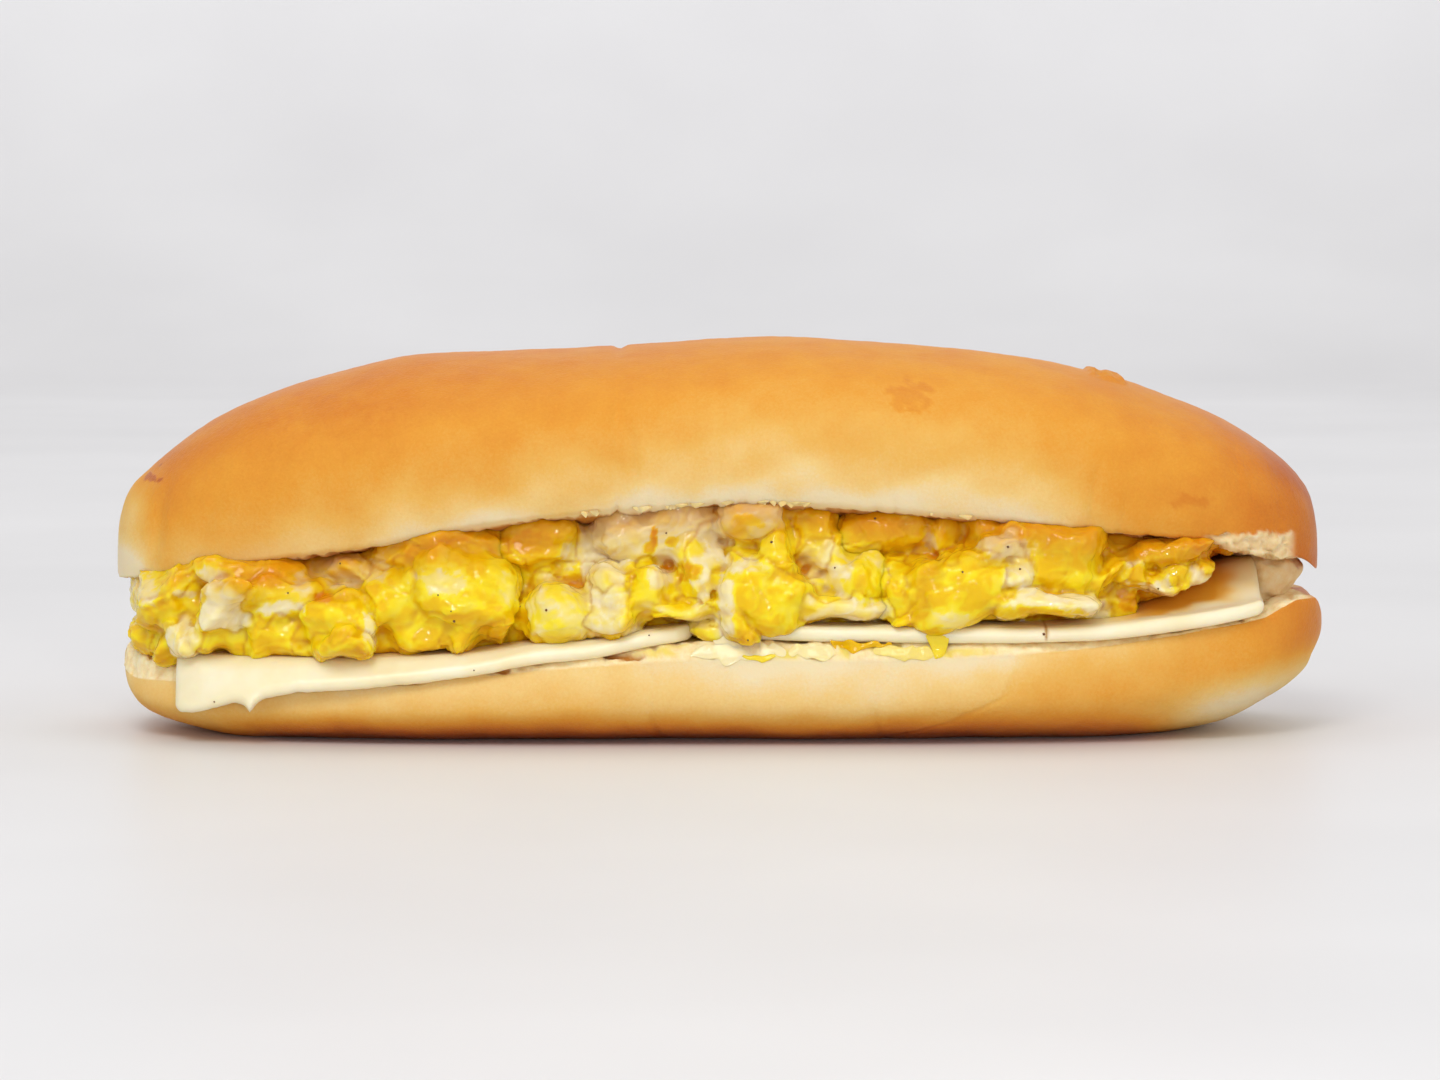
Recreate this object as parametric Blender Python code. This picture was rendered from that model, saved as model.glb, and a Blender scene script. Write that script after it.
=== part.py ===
"""Breakfast sandwich: a slotted soft roll that holds two cheese slices and a heap of scrambled egg.

Lengths and positions are written in millimetres and turned into metres as each mesh is made.
+X runs along the roll, the open side of the slot faces -Y and +Z is up.
The origin lies on the table, under the middle of the sandwich.
"""
import math

import bmesh
import bpy
import numpy as np

MM = 0.001
# Points of a mesh that lie closer than this, in metres, are joined.
MERGE_DISTANCE = 0.000001
# Edges that turn by more than this, in degrees, stay sharp in the smooth shading.
SHARP_ANGLE = 40.0

# Heights are measured from a line this far over the table.
MEASURED_FROM = 0.7

# Lengthwise lines of the top half: (x, height). Both ends close in one point.
CROWN = [
    (-100, 28.0), (-99.6, 34.4), (-98, 39.2), (-95, 42.3), (-90, 46.3), (-83, 50.9), (-76, 54.3),
    (-63, 58.2), (-50, 60.9), (-30, 61.7), (-10, 62.9), (12, 63.9), (30, 62.9), (50, 60.7),
    (63, 58.1), (76, 53.6), (84, 50.2), (90, 46.4), (96, 41.2), (98.4, 36.8), (99.2, 29.0),
]
TOP_LIP = [
    (-100, 28.0), (-99, 24.8), (-95, 25.4), (-88, 26.4), (-80, 27.9), (-60, 30.8), (-40, 34.5),
    (-20, 37.0), (5, 38.6), (20, 38.0), (40, 36.2), (60, 34.1), (80, 31.9), (90, 30.2),
    (96, 28.0), (98.5, 26.0), (99.2, 29.0),
]
TOP_HINGE = [
    (-100, 28.0), (-98, 23.0), (-90, 20.5), (-60, 19.5), (0, 19.0), (40, 20.5), (70, 24.0),
    (90, 26.3), (98, 27.0), (99.2, 29.0),
]

# Lengthwise lines of the bottom half. The keel is clipped at the table, which makes the flat base.
KEEL = [
    (-98.9, 12.5), (-98.5, 8.3), (-97.3, 5.2), (-95, 2.7), (-92, 1.3), (-88, 0.2), (-84.5, -0.6),
    (-78, -1.6), (-60, -2.0), (0, -2.0), (60, -2.0), (72, -1.4), (78, -0.4), (81.5, 0.4),
    (85, 1.6), (87.5, 2.8), (91, 4.7), (94.3, 6.8), (96.8, 9.0), (98, 11.3), (99.2, 13.6),
    (99.9, 16.8),
]
BOTTOM_LIP = [
    (-98.9, 12.5), (-98.3, 9.6), (-95, 8.4), (-88, 8.6), (-80, 9.2), (-60, 9.8), (-40, 10.5),
    (-20, 12.0), (0, 12.8), (20, 12.6), (40, 13.3), (60, 15.0), (70, 16.4), (80, 18.0),
    (88, 19.2), (92, 21.0), (95, 22.0), (97.6, 21.8), (99.3, 19.2), (99.9, 16.8),
]
BOTTOM_SHELF = [
    (-98.9, 12.5), (-97, 12.9), (-92, 12.0), (-88, 11.2), (-80, 10.9), (-60, 10.9), (-40, 11.8),
    (-30, 13.2), (-20, 13.9), (-10, 15.7), (0, 16.4), (20, 16.1), (50, 16.1), (60, 16.3),
    (70, 17.2), (80, 18.4), (88, 19.8), (92, 21.5), (95, 22.2), (97.6, 21.8), (99.9, 16.8),
]
BOTTOM_HINGE = [
    (-98.9, 12.5), (-97.5, 14.0), (-90, 14.5), (-60, 15.0), (0, 16.0), (40, 17.5), (70, 20.0),
    (90, 22.0), (97.6, 21.6), (99.9, 16.8),
]

# Crosswise sizes of the roll.
TOP_FRONT_WIDTH = 33.5
TOP_BACK_WIDTH = 36.8
BOTTOM_WIDTH = 35.0
CROWN_OFFSET = 2.0
LIP_TUCK = 1.4
SHELF_DEPTH = 7.0
HINGE_DEPTH = 10.5
HINGE_RECESS = 1.4
HINGE_OVERLAP = 4.0
HINGE_ENDS = (-88.0, 94.0)
# Height of the widest point over the cut edge, as a share of the height of the crust.
TOP_FRONT_SHARE = 0.2
TOP_BACK_SHARE = 0.22
BOTTOM_SHARE = 0.34
# Places of points on the bottom's cut face, as shares of the way from the hinge to the lip.
FACE_SHARES = (0.15, 0.35, 0.6, 0.8, 0.9)
PLAN_POWER = 3.0
ARC_POWER = 2.35

# Steps of the roll's surface.
LENGTH_STEPS = 40
ARC_STEPS = 9
TUCK_STEPS = 2
FACE_STEPS = 6
HINGE_STEPS = 18

# Cheese slices.
CHEESE_THICKNESS = 2.5
CHEESE_BACK = 15.0
CHEESE_BACK_GAP = 2.0
CHEESE_REST = 0.7
BEND_RADIUS = 3.5
SLICE_STEPS = 13
SLICE_FLAT_STEPS = 4
SLICE_BEND_STEPS = 3
# Node: both ends, then (x, overhang past the lip, bend in degrees, straight length after the bend).
SLICES = {
    "cheese_slice_left": ((-88.3, -4.3), [
        (-88.3, 3.4, 74, 4.6), (-84, 3.4, 74, 4.4), (-78, 2.8, 64, 3.0), (-68, 2.0, 54, 2.4),
        (-50, 1.6, 42, 2.0), (-30, 1.2, 26, 1.4), (-12, 0.6, 14, 1.0), (-7, -1.2, 8, 0.8),
        (-4.3, -5.0, 4, 0.4),
    ]),
    "cheese_slice_right": ((3.5, 88.4), [
        (3.5, -4.0, 2, 0.4), (7, -0.6, 4, 0.6), (20, 0.6, 8, 0.8), (42, 1.0, 12, 1.0),
        (60, 1.0, 10, 0.8), (80, 1.0, 6, 0.6), (85, 0.6, 3, 0.5), (88.4, -1.5, 2, 0.4),
    ]),
}

# Free space left between neighbouring nodes.
CLEARANCE = 0.34

# The exact solver leaves open edges where a cheese slice or the egg heap is cut.
FALLBACK_SOLVER = "MANIFOLD"

# Curds: (x, y, z of the middle, half sizes along x, y, z, lean in degrees, boxiness).
CURDS = [
    (-88.5, -16.0, 24.8, 5.2, 8.0, 2.8, 0, 2.6),
    (-94.4, -8.0, 21.4, 3.8, 9.0, 4.4, 0, 2.4),
    (-87.5, -17.0, 20.8, 5.2, 8.0, 3.8, 0, 2.4),
    (-93.9, -7.0, 16.2, 3.9, 8.0, 2.2, 0, 2.4),
    (-91.4, -15.0, 14.2, 2.4, 7.0, 2.6, 10, 2.2),
    (-87.0, -20.5, 16.2, 2.9, 7.0, 3.4, -18, 2.6),
    (-80.7, -22.0, 17.2, 4.0, 7.5, 2.9, 0, 2.4),
    (-79.8, -24.5, 21.4, 3.5, 7.5, 4.6, 24, 2.6),
    (-75.0, -21.0, 26.8, 9.2, 8.0, 2.7, 5, 3.0),
    (-72.0, -24.0, 23.2, 6.2, 7.5, 3.7, 0, 2.6),
    (-72.0, -23.0, 18.2, 6.0, 7.5, 3.1, 0, 2.4),
    (-61.0, -19.0, 26.6, 6.0, 8.0, 3.5, 8, 2.8),
    (-61.6, -27.0, 18.3, 6.0, 9.0, 4.4, -8, 2.6),
    (-42.5, -26.2, 23.6, 9.8, 10.5, 7.4, 4, 2.6),
    (-47.0, -22.0, 30.2, 10.4, 9.0, 4.2, 8, 2.8),
    (-53.0, -25.0, 21.4, 5.4, 8.5, 5.4, 0, 2.4),
    (-29.3, -20.0, 32.0, 5.6, 8.5, 3.6, 0, 3.4),
    (-27.0, -16.0, 25.6, 9.0, 8.5, 4.4, 0, 2.6),
    (-31.0, -20.0, 19.6, 4.4, 8.0, 3.4, 0, 2.4),
    (-25.8, -26.0, 21.0, 4.5, 8.0, 4.1, 0, 3.0),
    (-17.5, -27.0, 21.2, 4.3, 7.5, 3.4, 10, 2.6),
    (-17.8, -25.0, 25.4, 3.4, 7.0, 3.0, 0, 2.4),
    (-11.0, -23.0, 33.0, 8.8, 8.5, 5.4, 0, 2.8),
    (-3.0, -25.0, 28.2, 3.7, 7.5, 7.2, 12, 2.4),
    (-12.6, -25.0, 24.4, 3.9, 7.5, 4.6, 0, 2.4),
    (-7.6, -23.0, 24.8, 4.2, 7.5, 3.8, 20, 2.4),
    (-6.0, -26.0, 21.6, 5.8, 7.5, 1.8, 0, 2.8),
    (5.2, -26.0, 35.2, 5.3, 7.5, 3.5, 0, 2.4),
    (6.8, -27.0, 23.4, 7.8, 9.4, 6.0, 14, 2.6),
    (9.3, -26.0, 30.8, 3.3, 7.5, 4.2, -8, 2.4),
    (4.5, -25.0, 30.0, 2.9, 7.0, 2.8, 0, 2.4),
    (14.6, -24.0, 33.4, 3.9, 7.5, 3.3, -12, 2.8),
    (17.0, -22.0, 30.2, 3.2, 7.5, 3.9, -20, 2.4),
    (26.2, -23.0, 34.2, 7.4, 8.5, 3.7, -3, 3.4),
    (35.6, -21.0, 33.4, 4.2, 8.5, 3.5, 0, 2.6),
    (21.5, -23.5, 26.4, 5.8, 8.0, 4.4, -14, 2.6),
    (37.8, -27.0, 24.4, 8.4, 10.0, 6.2, 6, 2.6),
    (29.3, -25.0, 24.0, 3.4, 7.5, 4.6, 0, 2.4),
    (30.2, -28.6, 19.9, 2.4, 5.5, 2.0, 0, 2.2),
    (18.0, -24.0, 21.2, 10.2, 8.5, 2.0, 0, 3.0),
    (53.2, -25.5, 30.0, 8.5, 8.5, 5.5, -2, 4.0),
    (46.3, -27.0, 31.4, 4.7, 8.0, 2.5, -6, 2.6),
    (48.3, -27.0, 27.4, 3.2, 7.6, 3.0, 0, 2.6),
    (42.4, -21.0, 33.0, 4.0, 8.5, 3.4, 0, 2.6),
    (51.8, -26.0, 22.3, 8.9, 9.0, 2.4, 1, 2.6),
    (63.2, -24.0, 27.2, 1.4, 6.0, 3.2, 28, 2.6),
    (70.5, -22.5, 27.0, 5.8, 8.5, 3.8, 0, 2.8),
    (72.6, -21.0, 30.4, 7.2, 8.0, 2.3, -5, 2.6),
    (75.4, -23.0, 26.4, 3.0, 6.5, 2.5, -10, 2.4),
    (77.3, -15.0, 28.6, 3.8, 8.5, 2.6, 0, 2.4),
    (75.0, -2.0, 27.6, 5.5, 9.0, 3.4, 0, 2.6),
    (73.0, 10.0, 26.0, 5.5, 7.5, 2.8, 0, 2.6),
    (-93.4, 5.0, 19.2, 4.4, 8.5, 4.6, 0, 2.6),
    (-89.0, 11.0, 17.6, 4.6, 7.0, 3.6, 0, 2.6),
]
CURD_RINGS = 6
CURD_SECTORS = 11
CURD_LUMPS = 0.07
CURD_SCALE = 1.08
CURD_WAVES = 3
CURD_WAVE_SPREAD = 2.4
CURD_SEED = 11

# Egg behind the curds that show.
CORE_ENDS = (-88.0, 73.0)
CORE_FRONT = 25.0
CORE_STEPS = 12
# How far the core reaches into the bread before it is cut back.
CORE_INTO_HINGE = 1.0
CORE_INTO_FACES = 0.5


def clear_scene():
    """Remove every object, so that the script can run again."""
    for item in list(bpy.data.objects):
        bpy.data.objects.remove(item, do_unlink=True)


def along(points, x):
    """Smooth line through (x, value) points that never swings past them.

    The line is laid out over the angle of x round the length, which keeps blunt ends round.
    """
    table = np.array(points, dtype=float)
    first, last = table[0, 0], table[-1, 0]

    def angle(value):
        return np.arccos(np.clip((first + last - 2.0 * value) / (last - first), -1.0, 1.0))

    knots, values = angle(table[:, 0]), table[:, 1]
    step = np.diff(knots)
    rise = np.diff(values) / step
    slopes = np.zeros_like(values)
    same_way = rise[:-1] * rise[1:] > 0.0
    mean = 2.0 * rise[:-1] * rise[1:] / np.where(same_way, rise[:-1] + rise[1:], 1.0)
    slopes[1:-1] = np.where(same_way, mean, 0.0)
    slopes[0], slopes[-1] = rise[0], rise[-1]
    here = angle(np.asarray(x, dtype=float))
    left = np.clip(np.searchsorted(knots, here) - 1, 0, len(step) - 1)
    share = (here - knots[left]) / step[left]
    square, cube = share ** 2, share ** 3
    return (
        (2 * cube - 3 * square + 1) * values[left]
        + (cube - 2 * square + share) * step[left] * slopes[left]
        + (3 * square - 2 * cube) * values[left + 1]
        + (cube - square) * step[left] * slopes[left + 1]
    )


def plan(x, line=KEEL):
    """Share of the full width at x: a blunt oval between the two ends of a lengthwise line."""
    first, last = line[0][0], line[-1][0]
    across = np.clip(np.abs(2.0 * np.asarray(x, dtype=float) - first - last) / (last - first), 0, 1)
    return (1.0 - across ** PLAN_POWER) ** (1.0 / PLAN_POWER)


def stations(first, last, steps):
    """Places along x, closer together towards both ends."""
    turn = np.linspace(0.0, math.pi, steps + 1)
    return 0.5 * (first + last) - 0.5 * (last - first) * np.cos(turn)


def crust_arc(edge, side, apex, steps):
    """Crust from a cut edge past the widest point to the apex, as y and z for every station.

    The short stretch up to the widest point is a parabola, the rest a quarter of an oval.
    """
    share = (np.arange(TUCK_STEPS) / TUCK_STEPS)[None, :]
    low_y = side[0] + (edge[0] - side[0]) * (1.0 - share) ** 2
    low_z = edge[1] + (side[1] - edge[1]) * share
    turn = np.linspace(0.0, 0.5 * math.pi, steps - TUCK_STEPS + 1)[None, :]
    high_y = apex[0] + (side[0] - apex[0]) * np.cos(turn) ** (2.0 / ARC_POWER)
    high_z = side[1] + (apex[1] - side[1]) * np.sin(turn) ** (2.0 / ARC_POWER)
    return np.hstack([low_y, high_y]), np.hstack([low_z, high_z])


def top_half():
    """Domed half above the slot, tilted open: crust from lip to crown to hinge, then the cut face."""
    x = stations(CROWN[0][0], CROWN[-1][0], LENGTH_STEPS)[:, None]
    width = plan(x, CROWN)
    crown, lip, hinge = along(CROWN, x), along(TOP_LIP, x), along(TOP_HINGE, x)
    apex = (CROWN_OFFSET * width, crown)
    front_edge = (-(TOP_FRONT_WIDTH - LIP_TUCK) * width, lip)
    front_side = (-TOP_FRONT_WIDTH * width, lip + TOP_FRONT_SHARE * (crown - lip))
    back_edge = ((TOP_BACK_WIDTH - LIP_TUCK) * width, hinge)
    back_side = (TOP_BACK_WIDTH * width, hinge + TOP_BACK_SHARE * (crown - hinge))
    front_y, front_z = crust_arc(front_edge, front_side, apex, ARC_STEPS)
    back_y, back_z = crust_arc(back_edge, back_side, apex, ARC_STEPS)
    share = np.linspace(0.0, 1.0, FACE_STEPS + 1)[None, 1:-1]
    face_y = back_edge[0] + (front_edge[0] - back_edge[0]) * share
    face_z = hinge + (lip - hinge) * share
    y = np.hstack([front_y, back_y[:, -2::-1], face_y])
    z = np.hstack([front_z, back_z[:, -2::-1], face_z])
    return loft(x, y, z)


def bottom_face(x, y):
    """Height of the bottom half's cut face: it rises from the lip to a shelf, then runs to the hinge."""
    width = np.maximum(BOTTOM_WIDTH * plan(x), 0.001)
    inward = np.clip((y + width) / SHELF_DEPTH, 0.0, 1.0)
    rise = inward * inward * (3.0 - 2.0 * inward)
    front = along(BOTTOM_LIP, x) + (along(BOTTOM_SHELF, x) - along(BOTTOM_LIP, x)) * rise
    span = np.maximum(2.0 * width - SHELF_DEPTH - LIP_TUCK, 1.0)
    back = np.clip((y + width - SHELF_DEPTH) / span, 0.0, 1.0)
    return front + (along(BOTTOM_HINGE, x) - front) * back


def bottom_half():
    """Half under the slot: crust from lip to keel to hinge, with a flat base, then the cut face."""
    x = stations(KEEL[0][0], KEEL[-1][0], LENGTH_STEPS)[:, None]
    width = BOTTOM_WIDTH * plan(x)
    keel, lip, hinge = along(KEEL, x), along(BOTTOM_LIP, x), along(BOTTOM_HINGE, x)
    tuck = LIP_TUCK * plan(x)
    apex = (0.0 * width, keel)
    front_edge = (-(width - tuck), lip)
    front_side = (-width, lip + BOTTOM_SHARE * (keel - lip))
    back_edge = (width - tuck, hinge)
    back_side = (width, hinge + BOTTOM_SHARE * (keel - hinge))
    front_y, front_z = crust_arc(front_edge, front_side, apex, ARC_STEPS)
    back_y, back_z = crust_arc(back_edge, back_side, apex, ARC_STEPS)
    share = np.array(FACE_SHARES)[None, :]
    face_y = back_edge[0] + (front_edge[0] - back_edge[0]) * share
    face_z = bottom_face(x, face_y)
    y = np.hstack([front_y, back_y[:, -2::-1], face_y])
    z = np.maximum(np.hstack([front_z, back_z[:, -2::-1], face_z]), -MEASURED_FROM)
    return loft(x, y, z)


def hinge_web():
    """Uncut bread along the back that joins the two halves, set back a little to leave a fold."""
    x = np.linspace(HINGE_ENDS[0], HINGE_ENDS[1], HINGE_STEPS + 1)[:, None]
    back = BOTTOM_WIDTH * plan(x)
    low = along(BOTTOM_HINGE, x) - HINGE_OVERLAP
    high = along(TOP_HINGE, x) + HINGE_OVERLAP
    inner, outer = back - HINGE_DEPTH, back - HINGE_RECESS - LIP_TUCK
    y = np.hstack([inner, outer, outer, inner])
    z = np.hstack([low, low, high, high])
    return loft(x, y, z)


def loft(x, y, z):
    """Closed skin over one ring of points for each station, with strips across both ends."""
    count, ring = y.shape
    vertices = np.stack([np.broadcast_to(x, y.shape), y, z], axis=-1).reshape(-1, 3)
    index = np.arange(count * ring).reshape(count, ring)
    after = np.roll(index, -1, axis=1)
    faces = np.stack([index[:-1], after[:-1], after[1:], index[1:]], axis=-1).reshape(-1, 4).tolist()
    for row in (index[0].tolist(), index[-1].tolist()):
        faces += [[row[k], row[k + 1], row[-2 - k], row[-1 - k]] for k in range(ring // 2 - 1)]
    return vertices, faces


def slice_section(x, droop):
    """Middle line of a cheese slice at every station, from the back edge to the drooping front edge."""
    table = np.array(droop, dtype=float)
    x = np.asarray(x, dtype=float)[:, None]
    over = np.interp(x, table[:, 0], table[:, 1])
    bend = np.radians(np.interp(x, table[:, 0], table[:, 2]))
    straight = np.interp(x, table[:, 0], table[:, 3])
    edge = -(BOTTOM_WIDTH * plan(x) + over)
    start = edge + BEND_RADIUS * np.sin(bend) + straight * np.cos(bend)
    rest = CHEESE_REST + 0.5 * CHEESE_THICKNESS
    back = np.minimum(CHEESE_BACK, BOTTOM_WIDTH * plan(x) - HINGE_DEPTH - CHEESE_BACK_GAP)
    share = np.linspace(0.0, 1.0, SLICE_FLAT_STEPS + 1)[None, :]
    flat_y = back + (start - back) * share
    shelf_edge = SHELF_DEPTH - BOTTOM_WIDTH * plan(x)
    flat_z = bottom_face(x, np.maximum(flat_y, shelf_edge)) + rest
    turn = bend * np.linspace(0.0, 1.0, SLICE_BEND_STEPS + 1)[None, 1:]
    bent_y = start - BEND_RADIUS * np.sin(turn)
    bent_z = flat_z[:, -1:] - BEND_RADIUS * (1.0 - np.cos(turn))
    last_y = bent_y[:, -1:] - straight * np.cos(bend)
    last_z = bent_z[:, -1:] - straight * np.sin(bend)
    return np.hstack([flat_y, bent_y, last_y]), np.hstack([flat_z, bent_z, last_z])


def cheese_slice(ends, droop, grow=0.0):
    """Thin sheet that lies on the bottom half and bends over its lip, with an even thickness.

    It can be grown on all sides, to cut a slot for the slice into other bodies.
    """
    x = np.linspace(ends[0], ends[1], SLICE_STEPS + 1)
    y, z = slice_section(x, droop)
    along_y, along_z = np.gradient(y, axis=1), np.gradient(z, axis=1)
    length = np.hypot(along_y, along_z)
    half = 0.5 * CHEESE_THICKNESS + grow
    normal_y, normal_z = along_z / length * half, -along_y / length * half
    for column, side in ((0, -1.0), (-1, 1.0)):
        y[:, column] += side * grow * along_y[:, column] / length[:, column]
        z[:, column] += side * grow * along_z[:, column] / length[:, column]
    x += np.concatenate([[-grow], np.zeros(SLICE_STEPS - 1), [grow]])
    ring_y = np.hstack([y + normal_y, (y - normal_y)[:, ::-1]])
    ring_z = np.hstack([z + normal_z, (z - normal_z)[:, ::-1]])
    return loft(x[:, None], ring_y, ring_z)


def curd(spec, lumps):
    """One curd: a boxy oval on a grid of rings and sectors, with low lumps, leaning in the xz plane."""
    x, y, z, half_x, half_y, half_z, lean, power = spec
    turn = np.linspace(0.0, math.pi, CURD_RINGS + 1)[1:-1, None]
    sweep = np.linspace(0.0, 2.0 * math.pi, CURD_SECTORS, endpoint=False)[None, :]
    ways = np.stack([
        np.sin(turn) * np.cos(sweep),
        np.sin(turn) * np.sin(sweep),
        np.cos(turn) * np.ones_like(sweep),
    ], axis=-1).reshape(-1, 3)
    ways = np.vstack([ways, [[0.0, 0.0, 1.0], [0.0, 0.0, -1.0]]])
    size = (np.abs(ways) ** power).sum(axis=1, keepdims=True) ** (1.0 / power)
    swell = 1.0 + CURD_LUMPS * sum(np.sin(ways @ wave[:3] + wave[3]) for wave in lumps)
    shape = ways / size * swell[:, None] * CURD_SCALE * [half_x, half_y, half_z]
    cosine, sine = math.cos(math.radians(lean)), math.sin(math.radians(lean))
    turned = np.stack([
        shape[:, 0] * cosine + shape[:, 2] * sine,
        shape[:, 1],
        shape[:, 2] * cosine - shape[:, 0] * sine,
    ], axis=-1)
    vertices = turned + [x, y, z]
    rings = CURD_RINGS - 1
    index = np.arange(rings * CURD_SECTORS).reshape(rings, CURD_SECTORS)
    after = np.roll(index, -1, axis=1)
    faces = np.stack([index[:-1], after[:-1], after[1:], index[1:]], axis=-1).reshape(-1, 4).tolist()
    top, low = rings * CURD_SECTORS, rings * CURD_SECTORS + 1
    faces += [[top, int(after[0, k]), int(index[0, k])] for k in range(CURD_SECTORS)]
    faces += [[low, int(index[-1, k]), int(after[-1, k])] for k in range(CURD_SECTORS)]
    return vertices, faces


def egg_core():
    """Plain body of egg behind the curds, a little larger than the slot so that the cuts fit it."""
    x = np.linspace(CORE_ENDS[0], CORE_ENDS[1], CORE_STEPS + 1)[:, None]
    width = plan(x)
    front = -CORE_FRONT * width
    back = BOTTOM_WIDTH * width - HINGE_DEPTH + CORE_INTO_HINGE
    depth = (TOP_FRONT_WIDTH + TOP_BACK_WIDTH) * width
    lip, hinge = along(TOP_LIP, x), along(TOP_HINGE, x)
    slope = (lip - hinge) / depth
    high_front = hinge + slope * (TOP_BACK_WIDTH * width - front) + CORE_INTO_FACES
    high_back = hinge + slope * (TOP_BACK_WIDTH * width - back) + CORE_INTO_FACES
    low = along(BOTTOM_SHELF, x) - CORE_INTO_FACES
    y = np.hstack([front, back, back, front])
    z = np.hstack([low, low, high_back, high_front])
    return loft(x, y, z)


def make_object(name, shape, material=None):
    """Mesh object in metres from vertices in millimetres, with its faces turned outwards."""
    vertices, faces = shape
    mesh = bpy.data.meshes.new(name)
    raised = np.asarray(vertices) + [0.0, 0.0, MEASURED_FROM]
    mesh.from_pydata((raised * MM).tolist(), [], faces)
    cleaner = bmesh.new()
    cleaner.from_mesh(mesh)
    bmesh.ops.remove_doubles(cleaner, verts=cleaner.verts, dist=MERGE_DISTANCE)
    bmesh.ops.dissolve_degenerate(cleaner, edges=cleaner.edges, dist=MERGE_DISTANCE)
    bmesh.ops.recalc_face_normals(cleaner, faces=cleaner.faces)
    cleaner.to_mesh(mesh)
    cleaner.free()
    made = bpy.data.objects.new(name, mesh)
    bpy.context.scene.collection.objects.link(made)
    if material:
        mesh.materials.append(material)
    return made


def apply_modifiers(target):
    """Replace the mesh by its evaluated one and drop the modifiers."""
    graph = bpy.context.evaluated_depsgraph_get()
    graph.update()
    result = bpy.data.meshes.new_from_object(target.evaluated_get(graph))
    target.modifiers.clear()
    target.data = result


def boolean(target, others, operation, solver="EXACT"):
    """Join or cut with every object of one collection, then remove those objects."""
    group = bpy.data.collections.new("cutters")
    bpy.context.scene.collection.children.link(group)
    for item in others:
        bpy.context.scene.collection.objects.unlink(item)
        group.objects.link(item)
        item.hide_render = True
        item.display_type = "WIRE"
    step = target.modifiers.new(operation.lower(), "BOOLEAN")
    step.operation = operation
    step.operand_type = "COLLECTION"
    step.collection = group
    step.solver = solver
    apply_modifiers(target)
    for item in others:
        bpy.data.objects.remove(item, do_unlink=True)
    bpy.data.collections.remove(group)


def keep_largest(target):
    """Drop loose scraps: only the shell with the most points stays."""
    shells = bmesh.new()
    shells.from_mesh(target.data)
    left, best = set(shells.verts), []
    while left:
        found, edge = [], [left.pop()]
        while edge:
            vertex = edge.pop()
            found.append(vertex)
            near = [link.other_vert(vertex) for link in vertex.link_edges]
            fresh = [item for item in near if item in left]
            left.difference_update(fresh)
            edge.extend(fresh)
        if len(found) > len(best):
            best = found
    keep = set(best)
    bmesh.ops.delete(shells, geom=[v for v in shells.verts if v not in keep], context="VERTS")
    shells.to_mesh(target.data)
    shells.free()


def fattened(name, shape):
    """Object of a shape pushed outwards by the clearance, used as a cutter."""
    swollen = make_object(name, shape)
    grower = bmesh.new()
    grower.from_mesh(swollen.data)
    grower.normal_update()
    for vertex, normal in [(v, v.normal.copy()) for v in grower.verts]:
        vertex.co += normal * CLEARANCE * MM
    grower.to_mesh(swollen.data)
    grower.free()
    return swollen


def bread_cutters():
    """The three bodies of the roll, each a little larger than it is."""
    shapes = {"top_space": top_half(), "bottom_space": bottom_half(), "hinge_space": hinge_web()}
    return [fattened(name, shape) for name, shape in shapes.items()]


def shade(target):
    """Smooth shading with sharp edges only where the surface turns by more than the sharp angle."""
    for face in target.data.polygons:
        face.use_smooth = True
    target.data.set_sharp_from_angle(angle=math.radians(SHARP_ANGLE))


def food_material(name, colour, roughness):
    """Principled material with one colour, given as linear red, green and blue."""
    made = bpy.data.materials.new(name)
    made.use_nodes = True
    shader = made.node_tree.nodes["Principled BSDF"]
    shader.inputs["Base Color"].default_value = (*colour, 1.0)
    shader.inputs["Roughness"].default_value = roughness
    shader.inputs["Metallic"].default_value = 0.0
    made.diffuse_color = (*colour, 1.0)
    return made


def build_roll():
    """Both halves and the hinge joined into one body."""
    roll = make_object("roll", top_half(), food_material("golden_crust", (0.76, 0.39, 0.09), 0.5))
    bottom = make_object("bottom_half", bottom_half())
    web = make_object("hinge_web", hinge_web())
    boolean(roll, [bottom, web], "UNION")
    shade(roll)


def build_cheese():
    """Both slices, cut clear of the roll."""
    cheese = food_material("pale_cheese", (0.86, 0.77, 0.5), 0.38)
    for name, (ends, droop) in SLICES.items():
        item = make_object(name, cheese_slice(ends, droop), cheese)
        boolean(item, bread_cutters(), "DIFFERENCE", FALLBACK_SOLVER)
        keep_largest(item)
        shade(item)


def build_egg():
    """Core and curds joined into one heap, then cut clear of the bread and the cheese."""
    rng = np.random.default_rng(CURD_SEED)
    egg = make_object("egg_filling", egg_core(), food_material("scrambled_egg", (0.8, 0.48, 0.03), 0.32))
    pieces = []
    for number, spec in enumerate(CURDS):
        waves = rng.normal(0.0, CURD_WAVE_SPREAD, (CURD_WAVES, 4))
        pieces.append(make_object("curd_%02d" % number, curd(spec, waves)))
    boolean(egg, pieces, "UNION", FALLBACK_SOLVER)
    spaces = [
        make_object(name + "_space", cheese_slice(*shape, CLEARANCE)) for name, shape in SLICES.items()
    ]
    boolean(egg, bread_cutters(), "DIFFERENCE", FALLBACK_SOLVER)
    boolean(egg, spaces, "DIFFERENCE", FALLBACK_SOLVER)
    keep_largest(egg)
    shade(egg)


def main():
    """Build the four nodes of the sandwich."""
    clear_scene()
    build_roll()
    build_cheese()
    build_egg()


main()
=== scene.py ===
"""Breakfast sandwich: a slotted soft roll with two cheese slices and a heap of scrambled egg.

Shapes are worked out in millimetres and turned into metres as each mesh is made.
+X runs along the roll, the open side of the slot faces -Y and +Z is up.
"""
import itertools
import math

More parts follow.
